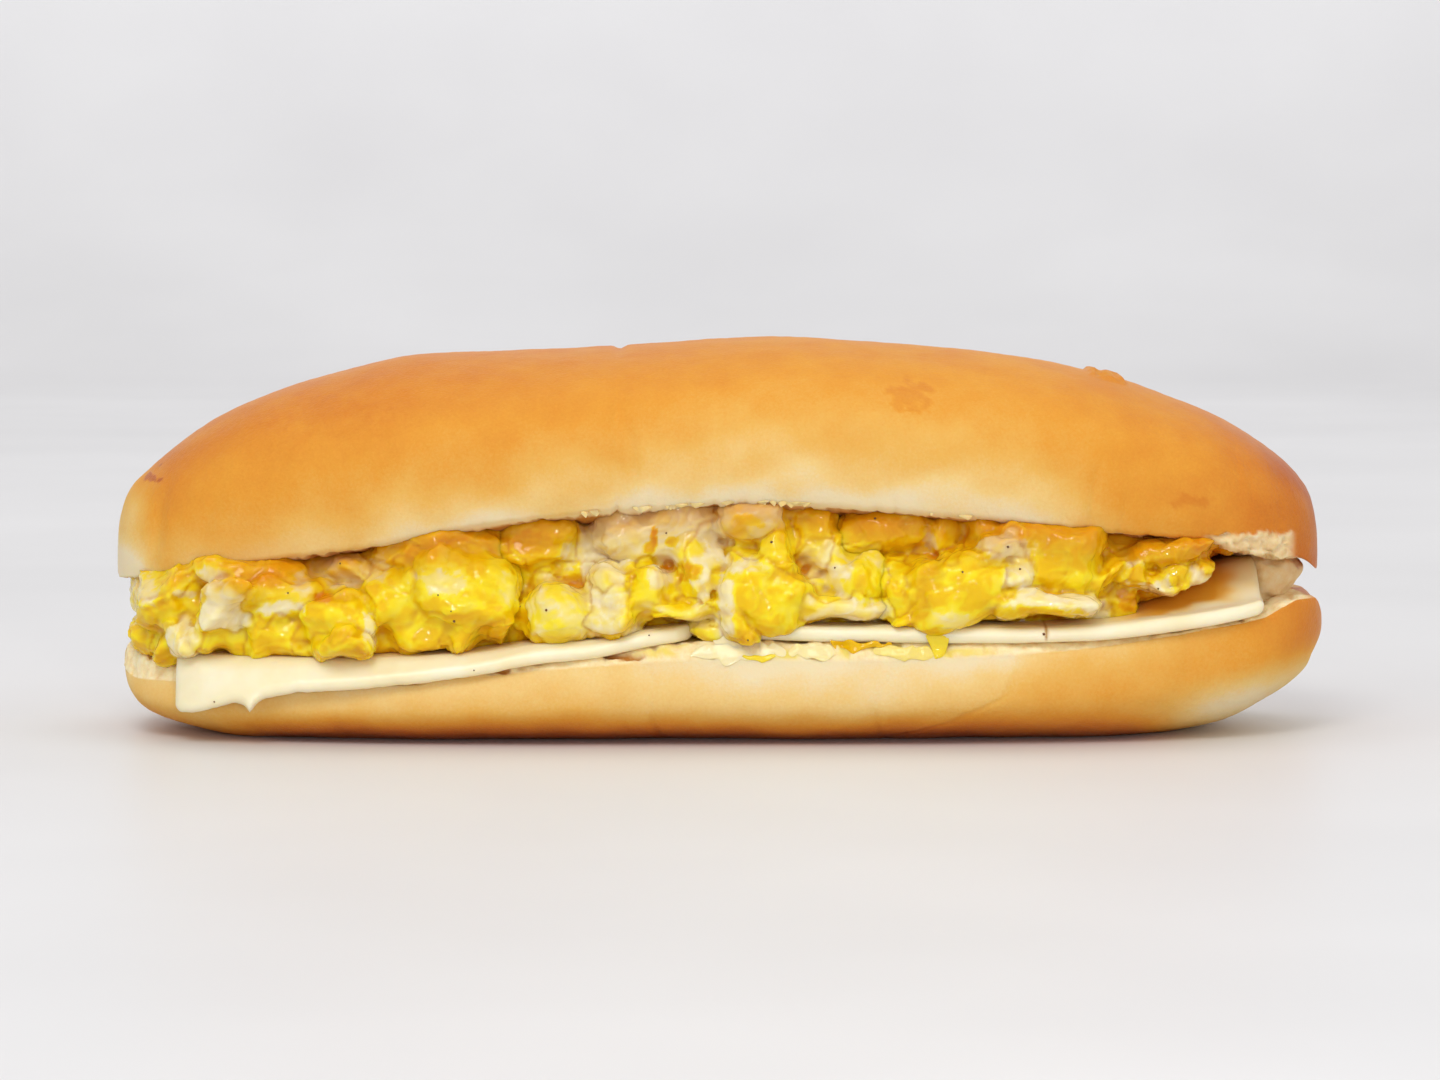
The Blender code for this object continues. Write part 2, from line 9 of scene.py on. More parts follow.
import bpy
import numpy as np
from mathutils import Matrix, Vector


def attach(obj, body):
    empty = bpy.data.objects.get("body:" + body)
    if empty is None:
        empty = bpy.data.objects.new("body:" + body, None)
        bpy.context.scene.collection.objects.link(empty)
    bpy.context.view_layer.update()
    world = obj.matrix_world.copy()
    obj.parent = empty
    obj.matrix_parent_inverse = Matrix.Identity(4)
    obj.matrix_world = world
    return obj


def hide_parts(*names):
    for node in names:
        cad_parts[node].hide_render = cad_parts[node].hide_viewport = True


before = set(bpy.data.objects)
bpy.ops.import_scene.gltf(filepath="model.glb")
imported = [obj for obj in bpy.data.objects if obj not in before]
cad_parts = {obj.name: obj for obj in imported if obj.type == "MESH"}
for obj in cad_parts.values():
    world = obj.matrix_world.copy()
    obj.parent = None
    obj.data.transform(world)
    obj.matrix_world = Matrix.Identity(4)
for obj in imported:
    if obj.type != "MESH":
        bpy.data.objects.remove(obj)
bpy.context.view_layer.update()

bl_info = {
    "name": "Breakfast sandwich",
    "version": (1, 0, 0),
    "blender": (4, 5, 0),
    "location": "3D View > Sidebar > Sandwich",
    "description": "Builds a soft roll filled with scrambled egg and cheese, and a pale stage",
    "category": "Add Mesh",
}

MM = 0.001
BODY = "root"

# Heights are measured from a line this far over the table.
MEASURED_FROM = 0.7

# Lengthwise lines of the top half: (x, height). Both ends close in one point.
CROWN = [
    (-100, 28), (-99.6, 34.4), (-98, 39.2), (-95, 42.3), (-90, 46.3), (-83, 50.9), (-76, 54.3),
    (-63, 58.2), (-50, 60.9), (-30, 61.7), (-10, 62.9), (12, 63.9), (30, 62.9), (50, 60.7), (63, 58.1),
    (76, 53.6), (84, 50.2), (90, 46.4), (96, 41.2), (98.4, 36.8), (99.2, 29),
]
TOP_LIP = [
    (-100, 28), (-99, 24.8), (-95, 25.4), (-88, 26.4), (-80, 27.9), (-60, 30.8), (-40, 34.5), (-20, 37),
    (5, 38.6), (20, 38), (40, 36.2), (60, 34.1), (80, 31.9), (90, 30.2), (96, 28), (98.5, 26), (99.2, 29),
]
TOP_HINGE = [
    (-100, 28), (-98, 23), (-90, 20.5), (-60, 19.5), (0, 19), (40, 20.5), (70, 24), (90, 26.3), (98, 27),
    (99.2, 29),
]

# Lengthwise lines of the bottom half. The keel is clipped at the table, which makes the flat base.
KEEL = [
    (-98.9, 12.5), (-98.5, 8.3), (-97.3, 5.2), (-95, 2.7), (-92, 1.3), (-88, 0.2), (-84.5, -0.6),
    (-78, -1.6), (-60, -2), (0, -2), (60, -2), (72, -1.4), (78, -0.4), (81.5, 0.4), (85, 1.6), (87.5, 2.8),
    (91, 4.7), (94.3, 6.8), (96.8, 9), (98, 11.3), (99.2, 13.6), (99.9, 16.8),
]
BOTTOM_LIP = [
    (-98.9, 12.5), (-98.3, 9.6), (-95, 8.4), (-88, 8.6), (-80, 9.2), (-60, 9.8), (-40, 10.5), (-20, 12),
    (0, 12.8), (20, 12.6), (40, 13.3), (60, 15), (70, 16.4), (80, 18), (88, 19.2), (92, 21), (95, 22),
    (97.6, 21.8), (99.3, 19.2), (99.9, 16.8),
]
BOTTOM_SHELF = [
    (-98.9, 12.5), (-97, 12.9), (-92, 12), (-88, 11.2), (-80, 10.9), (-60, 10.9), (-40, 11.8), (-30, 13.2),
    (-20, 13.9), (-10, 15.7), (0, 16.4), (20, 16.1), (50, 16.1), (60, 16.3), (70, 17.2), (80, 18.4),
    (88, 19.8), (92, 21.5), (95, 22.2), (97.6, 21.8), (99.9, 16.8),
]
BOTTOM_HINGE = [
    (-98.9, 12.5), (-97.5, 14), (-90, 14.5), (-60, 15), (0, 16), (40, 17.5), (70, 20), (90, 22),
    (97.6, 21.6), (99.9, 16.8),
]

# Crosswise sizes of the roll.
TOP_FRONT_WIDTH = 33.5
TOP_BACK_WIDTH = 36.8
BOTTOM_WIDTH = 35.0
CROWN_OFFSET = 2.0
LIP_TUCK = 1.4
SHELF_DEPTH = 3.6
HINGE_DEPTH = 10.5
HINGE_RECESS = 1.4
HINGE_ENDS = (-88.0, 94.0)
HINGE_GRID = (220, 72)
PLAN_POWER = 3.0
ARC_POWER = 2.35

# Where both crusts turn from the front to the back, as values of y.
BACK_FROM = (-10.0, 25.0)
# Points of each crust between the cut edge and the widest place.
FRONT_TUCK = 18
BACK_TUCK = 8

# How brown the crust is along x: over the whole height, how much paler at the lip, over how many mm.
TOP_BAKE = [
    (-100, 0.5), (-97, 0.66), (-92, 0.8), (-86, 0.76), (-75, 0.74), (-50, 0.72), (0, 0.69), (40, 0.66),
    (60, 0.65), (75, 0.66), (85, 0.76), (93, 0.88), (99.2, 0.95),
]
TOP_PALER = [
    (-100, 0.95), (-95, 0.95), (-89, 0.45), (-75, 0.5), (-50, 0.68), (-20, 0.72), (0, 0.84), (30, 0.76),
    (50, 0.6), (60, 0.36), (66, 0.12), (80, 0.04), (99.2, 0),
]
TOP_FADE = [(-100, 9), (-90, 9), (-50, 8), (-20, 8), (10, 10), (45, 10), (60, 8), (99.2, 5)]
BOTTOM_BAKE = [
    (-98.9, 0.36), (-90, 0.42), (-78, 0.44), (-60, 0.5), (-40, 0.5), (-15, 0.45), (10, 0.42), (30, 0.44),
    (50, 0.5), (70, 0.52), (85, 0.62), (95, 0.78), (99.9, 0.84),
]
BOTTOM_PALER = [
    (-98.9, 0.14), (-86, 0.22), (-60, 0.4), (-20, 0.26), (0, 0.42), (35, 0.46), (50, 0.4), (62, 0.28),
    (76, 0.1), (90, 0), (99.9, 0),
]
BOTTOM_FADE = [(-98.9, 4), (-60, 5), (-20, 8), (10, 10), (35, 8), (55, 4), (99.9, 4)]

# Soft folds across the crust: (x at the lip, x at the crown, depth, width, share of the height reached).
TOP_FOLDS = [
    (-13.5, -16, 0.26, 0.7, 0.75), (27.5, 24.5, 0.18, 0.8, 0.6), (58.5, 66, 0.34, 0.7, 0.5),
    (63.5, 69, 0.2, 0.6, 0.35), (-60, -57, 0.14, 1, 0.5), (-84, -80, 0.2, 1.2, 0.6),
    (-94, -88, 0.45, 1.2, 0.8),
]
BOTTOM_FOLDS = [
    (-12, -9, 0.26, 0.6, 1), (26.5, 25, 0.22, 0.6, 1), (-62, -60, 0.12, 1, 1), (75, 73, 0.15, 1.2, 1),
]

# Marks on the front of the top crust: (x, z of the middle, half sizes along x and z, added brown).
SCUFFS = [
    (30.6, 55.8, 3.4, 2.3, 0.14), (75.5, 38.6, 4.4, 1, 0.1), (-95.6, 44, 2.6, 0.9, 0.35),
    (-93.6, 41.6, 1.6, 0.7, 0.3), (-64, 52, 9, 3, 0.04),
]
NOTCH_X = -16.7
# Plateaus along x, as (outer, inner, inner, outer) ends: ragged lip in the middle and at the right end,
# lip that sinks there, crumb without crust over it, flake on the crown, crumb that egg ran over.
TORN_MIDDLE = (-24.0, -14.0, 6.0, 14.0)
TORN_END = (80.0, 84.0, 92.0, 95.0)
SUNKEN_END = (80.0, 85.0, 92.0, 95.0)
BARE_END = (77.0, 82.0, 92.5, 94.5)
FLAKE = (60.8, 61.6, 66.1, 67.6)
SOAKED = (-18.0, -8.0, 36.0, 50.0)
# Height of the torn crust edge over the bare crumb.
BARE_EDGE = 33.2
# Gaps in the bottom half under the left slice, dented and darkened with painted shade: (x, z of the middle,
# half sizes along x and z).
BREAD_GAPS = [(-64, 9.3, 3, 0.4), (-52, 9.8, 4, 0.4), (-35, 11.7, 1.3, 0.4), (-15.5, 14, 4, 0.45)]
# Edge of the soft pale side of the bottom crust: (height, x).
SOFT_EDGE = [(0.0, 26.0), (2.5, 35.0), (7.5, 44.9), (11.5, 46.8), (16.0, 47.4)]
# Torn crumb that hangs from the front lip: how many, and between which places along x.
SHREDS = [(18, -22.0, 14.0), (6, -60.0, 40.0)]

# Grid of each half: stations along x, then points over the front crust, back crust and cut face.
ROLL_STATIONS = 540
FRONT_POINTS = 92
BACK_POINTS = 44
FACE_POINTS = 38
# Columns of that grid where the cut face meets the front crust and the back crust.
CORNERS = (0, FRONT_POINTS + BACK_POINTS)

# Cheese slices.
CHEESE_THICKNESS = 2.5
CHEESE_BACK = 15.0
CHEESE_REST = 0.2
# How far the right slice's back curls up at its right end.
CHEESE_CURL = 5.0
# Small pointed tooth on the left slice's hem.
TOOTH_X = -75.7
BEND_RADIUS = 3.5
# Points across a slice: over the flat part, round the bend and down the straight part.
SLICE_POINTS = (60, 14, 12)
# Slice: both ends, then (x, overhang past the lip, bend in degrees, straight length after the bend).
SLICES = {
    "cheese_slice_left": ((-88.3, -4.3), [
        (-88.3, 3.4, 74, 4.6), (-84, 3.4, 74, 4.4), (-78, 2.8, 64, 3), (-68, 1.6, 52, 2.2),
        (-50, 0.2, 38, 1.8), (-30, -1.2, 22, 1.2), (-12, -2.8, 12, 0.9), (-7, -4, 8, 0.7),
        (-4.3, -7, 4, 0.4),
    ]),
    "cheese_slice_right": ((3.5, 88.4), [
        (3.5, -7, 2, 0.4), (7, -4.2, 4, 0.6), (20, -3.4, 8, 0.8), (42, -2.4, 12, 1),
        (60, -1, 10, 0.8), (80, 0.2, 6, 0.6), (85, 0.2, 3, 0.5), (88.4, -0.2, 2, 0.4),
    ]),
}

# Brown marks on the front of the slices: (x, z of the middle, half sizes along x and z).
CHEESE_MARKS = [(52.5, 17.8, 0.35, 1.3), (34.0, 14.3, 1.6, 0.25)]

# Curds: (x, y, z of the middle, half sizes along x, y, z, lean in degrees, down to the right,
# boxiness, share of yolk).
CURDS = [
    (-88.5, -16, 24.8, 5.2, 8, 2.8, 0, 2.6, 0.95), (-92.6, -8, 21.4, 3.2, 9, 4.4, 0, 2.4, 0.3),
    (-87.5, -17, 20.8, 5.2, 8, 3.8, 0, 2.4, 0.85), (-93.2, -8, 15.6, 3.9, 9, 2.9, 0, 2.4, 0.9),
    (-90.4, -15, 14.2, 2.2, 7, 2.6, 10, 2.4, 0.8), (-87, -20.5, 16.2, 2.9, 7, 3.4, -18, 2.6, 0.1),
    (-80.7, -22, 16.8, 4, 7.5, 3.6, 0, 2.4, 0.9), (-79.8, -26.4, 21.4, 3.3, 7.5, 4.7, 24, 2.8, 0),
    (-75, -21, 26.8, 9.2, 8, 2.7, 5, 3.4, 1), (-72, -24, 23.2, 6.2, 7.5, 3.7, 0, 2.6, 0.8),
    (-72, -23, 17.6, 6, 7.5, 3.9, 0, 2.4, 0.85), (-54.5, -22, 18, 3.4, 7.5, 3.8, 0, 2.8, 0.9),
    (-61, -19, 26.6, 6, 8, 3.5, 8, 2.8, 0.25), (-61.6, -25, 19.4, 5.6, 8.5, 3.6, -6, 3.4, 1),
    (-61, -28.6, 15.8, 5, 7, 2.2, -4, 2.6, 0.9), (-41, -25.6, 24.8, 7.8, 8.4, 6.2, 10, 3.2, 0.9),
    (-43.6, -24.6, 19, 8.4, 8.6, 4.2, -4, 2.8, 0.9), (-46, -21, 31, 10, 8.5, 3.8, 8, 3.6, 1),
    (-51, -23.6, 23.4, 5.4, 8.4, 5, -6, 2.8, 0.85), (-43.6, -29.8, 17.2, 2.6, 3.6, 2.4, 0, 2.6, 0.9),
    (-35.8, -29, 18.4, 1.8, 3.6, 2.8, 10, 2.6, 0.95), (-29.3, -20, 32.4, 5.6, 8.5, 3.8, 4, 3.6, 1),
    (-27, -16, 25.6, 9, 8.5, 4.4, 0, 2.6, 1), (-31, -20, 19.6, 4.4, 8, 3.4, 0, 2.4, 1),
    (-25.8, -26, 21, 4.5, 8, 4.1, 0, 3, 0.35), (-17.5, -27, 21.2, 4.3, 7.5, 3.4, 10, 2.6, 0.15),
    (-17.8, -25, 25.4, 3.4, 7, 3, 0, 2.4, 0.15), (-11, -21.5, 34.2, 8.8, 8.5, 6, 2, 3.4, 0.06),
    (-3, -25, 28.2, 3.7, 7.5, 7.2, 12, 2.4, 0.05), (-12.6, -25, 24.4, 3.9, 7.5, 4.6, 0, 2.4, 0.85),
    (-7.6, -23, 24.8, 4.2, 7.5, 3.8, 20, 2.4, 0.6), (-6, -26, 21.6, 5.8, 7.5, 1.8, 0, 2.8, 0.3),
    (5.2, -24.6, 35.8, 5.3, 7.5, 3.7, 0, 3, 0.12), (6.4, -26.4, 24, 7.2, 8.6, 4.8, 30, 3, 0.9),
    (3.6, -26, 20.6, 3.4, 8, 3.6, 0, 2.6, 0.8), (9.3, -26, 30.8, 3.3, 7.5, 4.2, -8, 2.4, 0.8),
    (4.5, -25, 30, 2.9, 7, 2.8, 0, 2.4, 0.7), (14.8, -21, 34.2, 4.2, 7.5, 3.8, -8, 3.4, 0.95),
    (17, -22, 30.2, 3.2, 7.5, 3.9, -20, 2.4, 0.2), (26.2, -20, 34, 7.4, 8.5, 3.5, -3, 4, 1),
    (35.6, -19.5, 33.4, 4.2, 8.5, 3.5, 0, 2.8, 0.8), (21.5, -23.5, 26.4, 5.8, 8, 4.4, -14, 2.6, 0.5),
    (38, -26, 24, 7.6, 8.6, 5, -24, 3.2, 0.97), (33.4, -25.4, 23.6, 4.2, 8.2, 5.2, 0, 2.8, 0.95),
    (29.3, -25, 24, 3.4, 7.5, 4.6, 0, 2.4, 0.75), (30.2, -28.6, 19.9, 2.4, 5.5, 2, 0, 2.2, 1),
    (18, -24, 21.2, 10.2, 8.5, 2, 0, 3, 0.2), (14.2, -21, 24.4, 3.4, 7.5, 2.6, 0, 2.6, 0.25),
    (53.4, -23, 29.8, 8, 8.5, 5.5, -2, 4.6, 1), (52, -20, 25, 8, 8, 3, 0, 3, 1),
    (45.8, -26, 31.6, 4.2, 7.6, 2.1, -8, 3, 0.1), (48, -26, 27.6, 2.6, 7.4, 2.8, 0, 3, 0.2),
    (42.4, -20, 33.2, 4, 8.5, 3.4, 0, 3, 1), (51.8, -26.4, 22.2, 8.7, 8.4, 2.3, 1, 3, 0.05),
    (63.2, -23, 27.2, 1.3, 6, 3.2, 28, 2.6, 0.9), (67.6, -19.5, 27.2, 2.8, 7.5, 3.6, 6, 2.6, 0.15),
    (71.6, -19, 25.6, 3.6, 7.5, 2, 0, 2.6, 0.15), (72.2, -18.6, 30.4, 6.8, 7.5, 2, -6, 3, 0.95),
    (73.6, -20, 27, 1.9, 7, 2.7, -24, 2.6, 0.95), (76.4, -19.6, 26.2, 2, 6, 1.9, -10, 2.4, 0.1),
    (71.5, -14, 28, 4, 8, 3, 0, 2.6, 1), (78.2, -13, 30.2, 3.4, 7, 1.8, -6, 2.6, 1),
    (81.2, -8, 30, 2.4, 7, 1.8, 10, 2.6, 1), (70, -15, 24.6, 7, 7, 2, -4, 2.6, 1),
    (75, -2, 27.6, 5.5, 9, 3.4, 0, 2.6, 0.8), (73, 10, 26, 5.5, 7.5, 2.8, 0, 2.6, 0.8),
    (-92, 5, 19.2, 4, 8.5, 4.4, 0, 2.6, 0.6), (-89, 11, 17.6, 4.6, 7, 3.6, 0, 2.6, 0.8),
    (-0.5, -23.5, 17.6, 5.5, 7, 1.8, 3, 2.6, 0.3), (63.5, -15.5, 30.4, 5.5, 8, 3.2, -4, 3, 1),
    (-64, -14, 28.6, 6, 8, 2.6, 4, 3, 1),
]
# Swelling of a curd by slow waves, the boxiness from which it counts as a slab, its size against the
# table's, and the spacing of its grid in mm.
CURD_LUMPS = 0.07
SLAB_POWER = 3.0
CURD_SCALE = 1.12
CURD_STEP = 0.4
# Fewest and most rings and points in a ring of a curd.
CURD_RINGS = (18, 58)
CURD_SECTORS = (32, 104)
# Seeds of the random draws.
CURD_SEED = 11
SHRED_SEED = 5
PEPPER_SEED = 9

# Marbling seen from the front: (x, z of the middle, half sizes along x and z, share of yolk).
# What the share has over 1 is painted shade: dark slits and gaps between curds.
MARBLING = [
    (-92.5, 24.8, 2.5, 2.8, 0.2), (-86, 24.2, 2, 0.8, 0.15), (-81.8, 27, 2.2, 1.8, 0.2),
    (-70.5, 21.8, 3.8, 1.3, 0.05), (-67, 26, 2, 2.2, 0.2), (-55.5, 28.5, 2.5, 2.5, 0.3),
    (-56.3, 18.5, 1.3, 3, 0.2), (-44.8, 26, 4.4, 2.4, 0.22), (-34, 25, 2, 3, 0.4),
    (-32.5, 34, 2.5, 1.5, 0.5), (-24, 30.5, 2, 2.5, 0.25), (-10.6, 33.4, 0.45, 1.6, 1.75),
    (-7.8, 32.6, 1.1, 0.8, 1.3), (-8.6, 28.4, 1.2, 0.35, 1.7), (-6.4, 27, 0.35, 1.2, 1.6),
    (-16.5, 27, 1.5, 2, 0.15), (-13.5, 27, 1.5, 2, 0.85), (-9.5, 26.7, 2.5, 1.7, 0.12),
    (-6.5, 24, 2.5, 2, 0.85), (4.7, 36, 2.3, 1, 0.9), (1, 22.5, 1.5, 5.8, 0.05),
    (3.8, 28.5, 3.3, 1.4, 0.1), (4.9, 23, 2.4, 4.6, 1), (33.8, 32.5, 1.3, 1.5, 0.15),
    (19.2, 27, 2.8, 3, 0.15), (23.8, 26, 3.2, 3, 0.85), (37, 20, 4, 1.8, 0.35), (46.3, 31.5, 4.2, 2, 0.08),
    (48, 27.5, 2.7, 2.5, 0.15), (50.5, 20.9, 6.5, 1.1, 0.95), (66.5, 27, 1.7, 3, 0.15),
    (70.2, 25.3, 2.8, 1.7, 0.1), (-30.5, 32.3, 3.8, 2, 1.4), (-11.4, 31.6, 0.9, 0.9, 1.4),
    (-4.8, 27.8, 2, 1.4, 1.45), (25.7, 34.6, 5, 1.8, 1.35), (68.2, 27.4, 3, 1.4, 1.1),
    (65.6, 23.4, 2, 2.2, 1.6), (-64, 23.6, 1.8, 0.8, 1.85), (-72.2, 26.4, 2.4, 1.2, 1.25),
    (-4.8, 31.5, 2.6, 1.6, 0.45), (74, 26.5, 1.5, 1.8, 0.95), (76.9, 26.4, 1.3, 1.5, 0.05),
    (72, 31, 7, 1.7, 0.85),
]
MARBLE_POWER = 2.2

# Thin egg on the front edge, seen from the front: (x, z of the middle, half sizes along x and z,
# lean in degrees, up to the right, thickness, share of yolk).
FILMS = [
    (3, 14.8, 7.4, 1.7, 2, 0.3, 0.03), (2.2, 17, 3, 2.4, 0, 0.35, 0.05),
    (5.6, 13.8, 3.2, 0.5, 0, 0.35, 0.5), (22.8, 15.8, 5.2, 0.9, -2, 0.35, 1),
    (35.4, 16.2, 1.6, 2.6, 30, 0.35, 0.5), (29.5, 14.6, 5, 1, 3, 0.3, 0.25),
    (14.6, 14.9, 4, 1, 0, 0.25, 0.1),
]
# Cells of the ground that the thin egg follows, in mm, and steps along and round each film.
FILM_CELL = 0.8
FILM_GRID = (48, 40)
# The thin egg follows what carries it in front of this y.
FILM_FRONT = -20.0
# How far light goes into the curds and into the thin egg, in mm.
CURD_GLOW = 1.5
FILM_GLOW = 0.05

# Egg behind the curds that show: its ends along x, how far its front lies from the middle of the roll,
# its share of yolk, and steps along and round it.
CORE_ENDS = (-88.0, 68.0)
CORE_FRONT = 26.5
CORE_YOLK = 1.0
CORE_GRID = (150, 150)
# How fast a curd's share fades with the distance from it, and the distance at which the core counts.
CURD_FADE = 14.0
CORE_AWAY = 1.3
# Voxel of the fused heap in mm. Width of the seams where curds meet, as a share of a curd, and their
# depth in mm. Smoothing passes behind the depth of the folds.
EGG_VOXEL = 0.42
SEAM_REACH = 0.14
SEAM_DEPTH = 0.3
FOLD_PASSES = 10
# Cells of the heap's own front, how many of them the blur takes on each side, and how deep it goes.
FRONT_CELL = 0.6
FRONT_BLUR = 5
FRONT_DEEPEST = 12.0
# How far the painted shade under the upper lip reaches down, in mm.
LIP_SHADE = 9.0
# Places of the egg are read off the photo in the plane y = -34.
PHOTO_PLANE = 34.0

# Ground pepper on the egg and cheese, seen from the front: (x, z), then how many more are strewn.
PEPPER = [
    (-39.5, 12.4), (39.2, 28.2), (-43.4, 21.6), (-43, 19.2), (-45.5, 24.4), (4, 16.6), (23.5, 15.2),
    (-69, 24.8), (52.5, 17.8), (8, 33), (48, 28.8), (-28.5, 21.4), (70, 24.6),
]
PEPPER_MORE = 8
# How near to its place a grain may lie, its half size, and the y and slope of points that others go on.
PEPPER_REACH = 0.7
PEPPER_SIZE = (0.13, 0.24)
PEPPER_FRONT = -28.0
PEPPER_FACING = -0.6

# Stretches of the heap, which overlap a little: (first x, last x).
EGG_STRETCHES = [(-99.0, -34.0), (-36.0, 24.0), (22.0, 84.0)]

# Camera: a long lens a little over the table.
LENS_MM = 135.0
SENSOR_MM = 36.0
CAMERA_DISTANCE = 0.9
CAMERA_RISE = 4.5
AIM_HEIGHT = 0.0309

# The twelve slopes of the noise, from the middle of a cube to the middles of its edges.
GRADIENTS = np.array(
    [way for way in itertools.product((-1.0, 0.0, 1.0), repeat=3) if sum(abs(v) for v in way) == 2.0]
)


# Lines and noise.

def along(points, x):
    """Smooth line through (x, value) points that never swings past them.

    A cubic Hermite over the angle of x round the length, which keeps blunt ends round.
    """
    table = np.array(points, dtype=float)
    first, last = table[[0, -1], 0]

    def angle(value):
        return np.arccos(np.clip((first + last - 2.0 * value) / (last - first), -1.0, 1.0))

    knots, values = angle(table[:, 0]), table[:, 1]
    step = np.diff(knots)
    rise = np.diff(values) / step
    slopes = np.zeros_like(values)
    same_way = rise[:-1] * rise[1:] > 0.0
    mean = 2.0 * rise[:-1] * rise[1:] / np.where(same_way, rise[:-1] + rise[1:], 1.0)
    slopes[1:-1] = np.where(same_way, mean, 0.0)
    slopes[0], slopes[-1] = rise[0], rise[-1]
    here = angle(np.asarray(x, dtype=float))
    left = np.clip(np.searchsorted(knots, here) - 1, 0, len(step) - 1)
    share = (here - knots[left]) / step[left]
    square, cube = share ** 2, share ** 3
    return (
        (2 * cube - 3 * square + 1) * values[left]
        + (cube - 2 * square + share) * step[left] * slopes[left]
        + (3 * square - 2 * cube) * values[left + 1]
        + (cube - square) * step[left] * slopes[left + 1]
    )


def plan(x, line=KEEL):
    """Share of the full width at x: the oval |u|^3 + w^3 = 1 between the ends of a lengthwise line."""
    first, last = line[0][0], line[-1][0]
    across = np.clip(np.abs(2.0 * np.asarray(x, dtype=float) - first - last) / (last - first), 0, 1)
    return (1.0 - across ** PLAN_POWER) ** (1.0 / PLAN_POWER)


def stations(first, last, steps):
    """Places along x at equal angles of a half circle, so closer together towards both ends."""
    turn = np.linspace(0.0, math.pi, steps + 1)
    return 0.5 * (first + last) - 0.5 * (last - first) * np.cos(turn)


def step_up(value, low, high):
    """Smooth step: 0 under low, 1 over high, and 3t^2 - 2t^3 between them."""
    share = np.clip((value - low) / (high - low), 0.0, 1.0)
    return share * share * (3.0 - 2.0 * share)


def step_down(value, low, high):
    """Smooth step that falls from 1 under low to 0 over high."""
    return 1.0 - step_up(value, low, high)


def band(value, ends):
    """Smooth plateau over (outer, inner, inner, outer) ends: 0 outside, 1 between the inner ones."""
    return step_up(value, ends[0], ends[1]) * step_down(value, ends[2], ends[3])


def from_spot(x, z, spot):
    """Distance from the middle of an oval (x, z, half sizes) seen from the front, 1 on its rim."""
    return np.hypot((x - spot[0]) / spot[2], (z - spot[1]) / spot[3])


def as_seen(points):
    """x and z of the places in the photo's plane where the camera sees each point."""
    behind = points[:, 1] + PHOTO_PLANE
    x = points[:, 0] * (1.0 - behind / (CAMERA_DISTANCE / MM))
    return x, points[:, 2] + behind * math.sin(math.radians(CAMERA_RISE))


def full_turn(count):
    """Angles of a whole circle as one row."""
    return np.linspace(0.0, 2.0 * math.pi, count, endpoint=False)[None, :]


def blunt(wave, power):
    """Sine or cosine raised to a small power with its sign, which makes a rounded box of a circle."""
    return np.sign(wave) * np.abs(wave) ** power


def leaned(x, z, degrees):
    """x and z turned about the y axis, down to the right for a positive angle."""
    cosine, sine = math.cos(math.radians(degrees)), math.sin(math.radians(degrees))
    return x * cosine + z * sine, z * cosine - x * sine


def noise(points, size, seed):
    """Gradient noise: random slopes on a cubic lattice of the given spacing, blended by a quintic ease."""
    scaled = points / np.asarray(size, dtype=float)
    cell = np.floor(scaled).astype(np.int64)
    inside = scaled - cell
    ease = inside ** 3 * (inside * (inside * 6.0 - 15.0) + 10.0)
    total = np.zeros(points.shape[:-1])
    for corner in itertools.product((0, 1), repeat=3):
        place = cell + corner
        number = (place[..., 0] * 73856093) ^ (place[..., 1] * 19349663)
        number ^= (place[..., 2] * 83492791) ^ (seed * 7919)
        number = (number ^ (number >> 13)) * 1274126177
        number = (number ^ (number >> 16)) & 0x7FFFFFFF
        slope = GRADIENTS[number % len(GRADIENTS)]
        weight = np.prod(np.where(corner, ease, 1.0 - ease), axis=-1)
        total += weight * (slope * (inside - corner)).sum(axis=-1)
    return total


def warp(points, size, reach, seed):
    """Points carried sideways by three slow noises, so that a pattern on them curls."""
    shift = np.stack([noise(points, size, seed + k) for k in range(3)], axis=-1)
    return points + reach * shift


def grid_of(x, y, z):
    """Points from their coordinates, spread to one shape."""
    return np.stack(np.broadcast_arrays(x, y, z), axis=-1)


def lengthwise_noise(x, size, seed):
    """Noise that changes along x alone."""
    return noise(grid_of(x, 0.0, 0.0), size, seed)


def pillows(points, size, seed):
    """Rounded lobes with narrow creases between them: the size of a noise without its sign."""
    return np.abs(noise(points, size, seed))


# Grids and meshes.

def ring_normals(points):
    """Outward unit normals of a grid that closes on itself along its second axis."""
    lengthwise = np.gradient(points, axis=0)
    crosswise = np.roll(points, -1, axis=1) - np.roll(points, 1, axis=1)
    normal = np.cross(lengthwise, crosswise)
    normal /= np.maximum(np.linalg.norm(normal, axis=-1, keepdims=True), 1e-9)
    outward = points - points.mean(axis=1, keepdims=True)
    return normal if (normal * outward).sum() > 0.0 else -normal


def soften(points, columns, passes, reach):
    """Round off ring corners: near the given columns each point moves to the mean of its neighbours."""
    ring = points.shape[1]
    places = np.arange(ring)
    gap = np.min([np.abs((places - c + ring // 2) % ring - ring // 2) for c in columns], axis=0)
    weight = step_down(gap, 0.0, reach)[None, :, None]
    for _ in range(passes):
        mean = 0.25 * np.roll(points, 1, axis=1) + 0.5 * points + 0.25 * np.roll(points, -1, axis=1)
        points = points + (mean - points) * weight
    return points


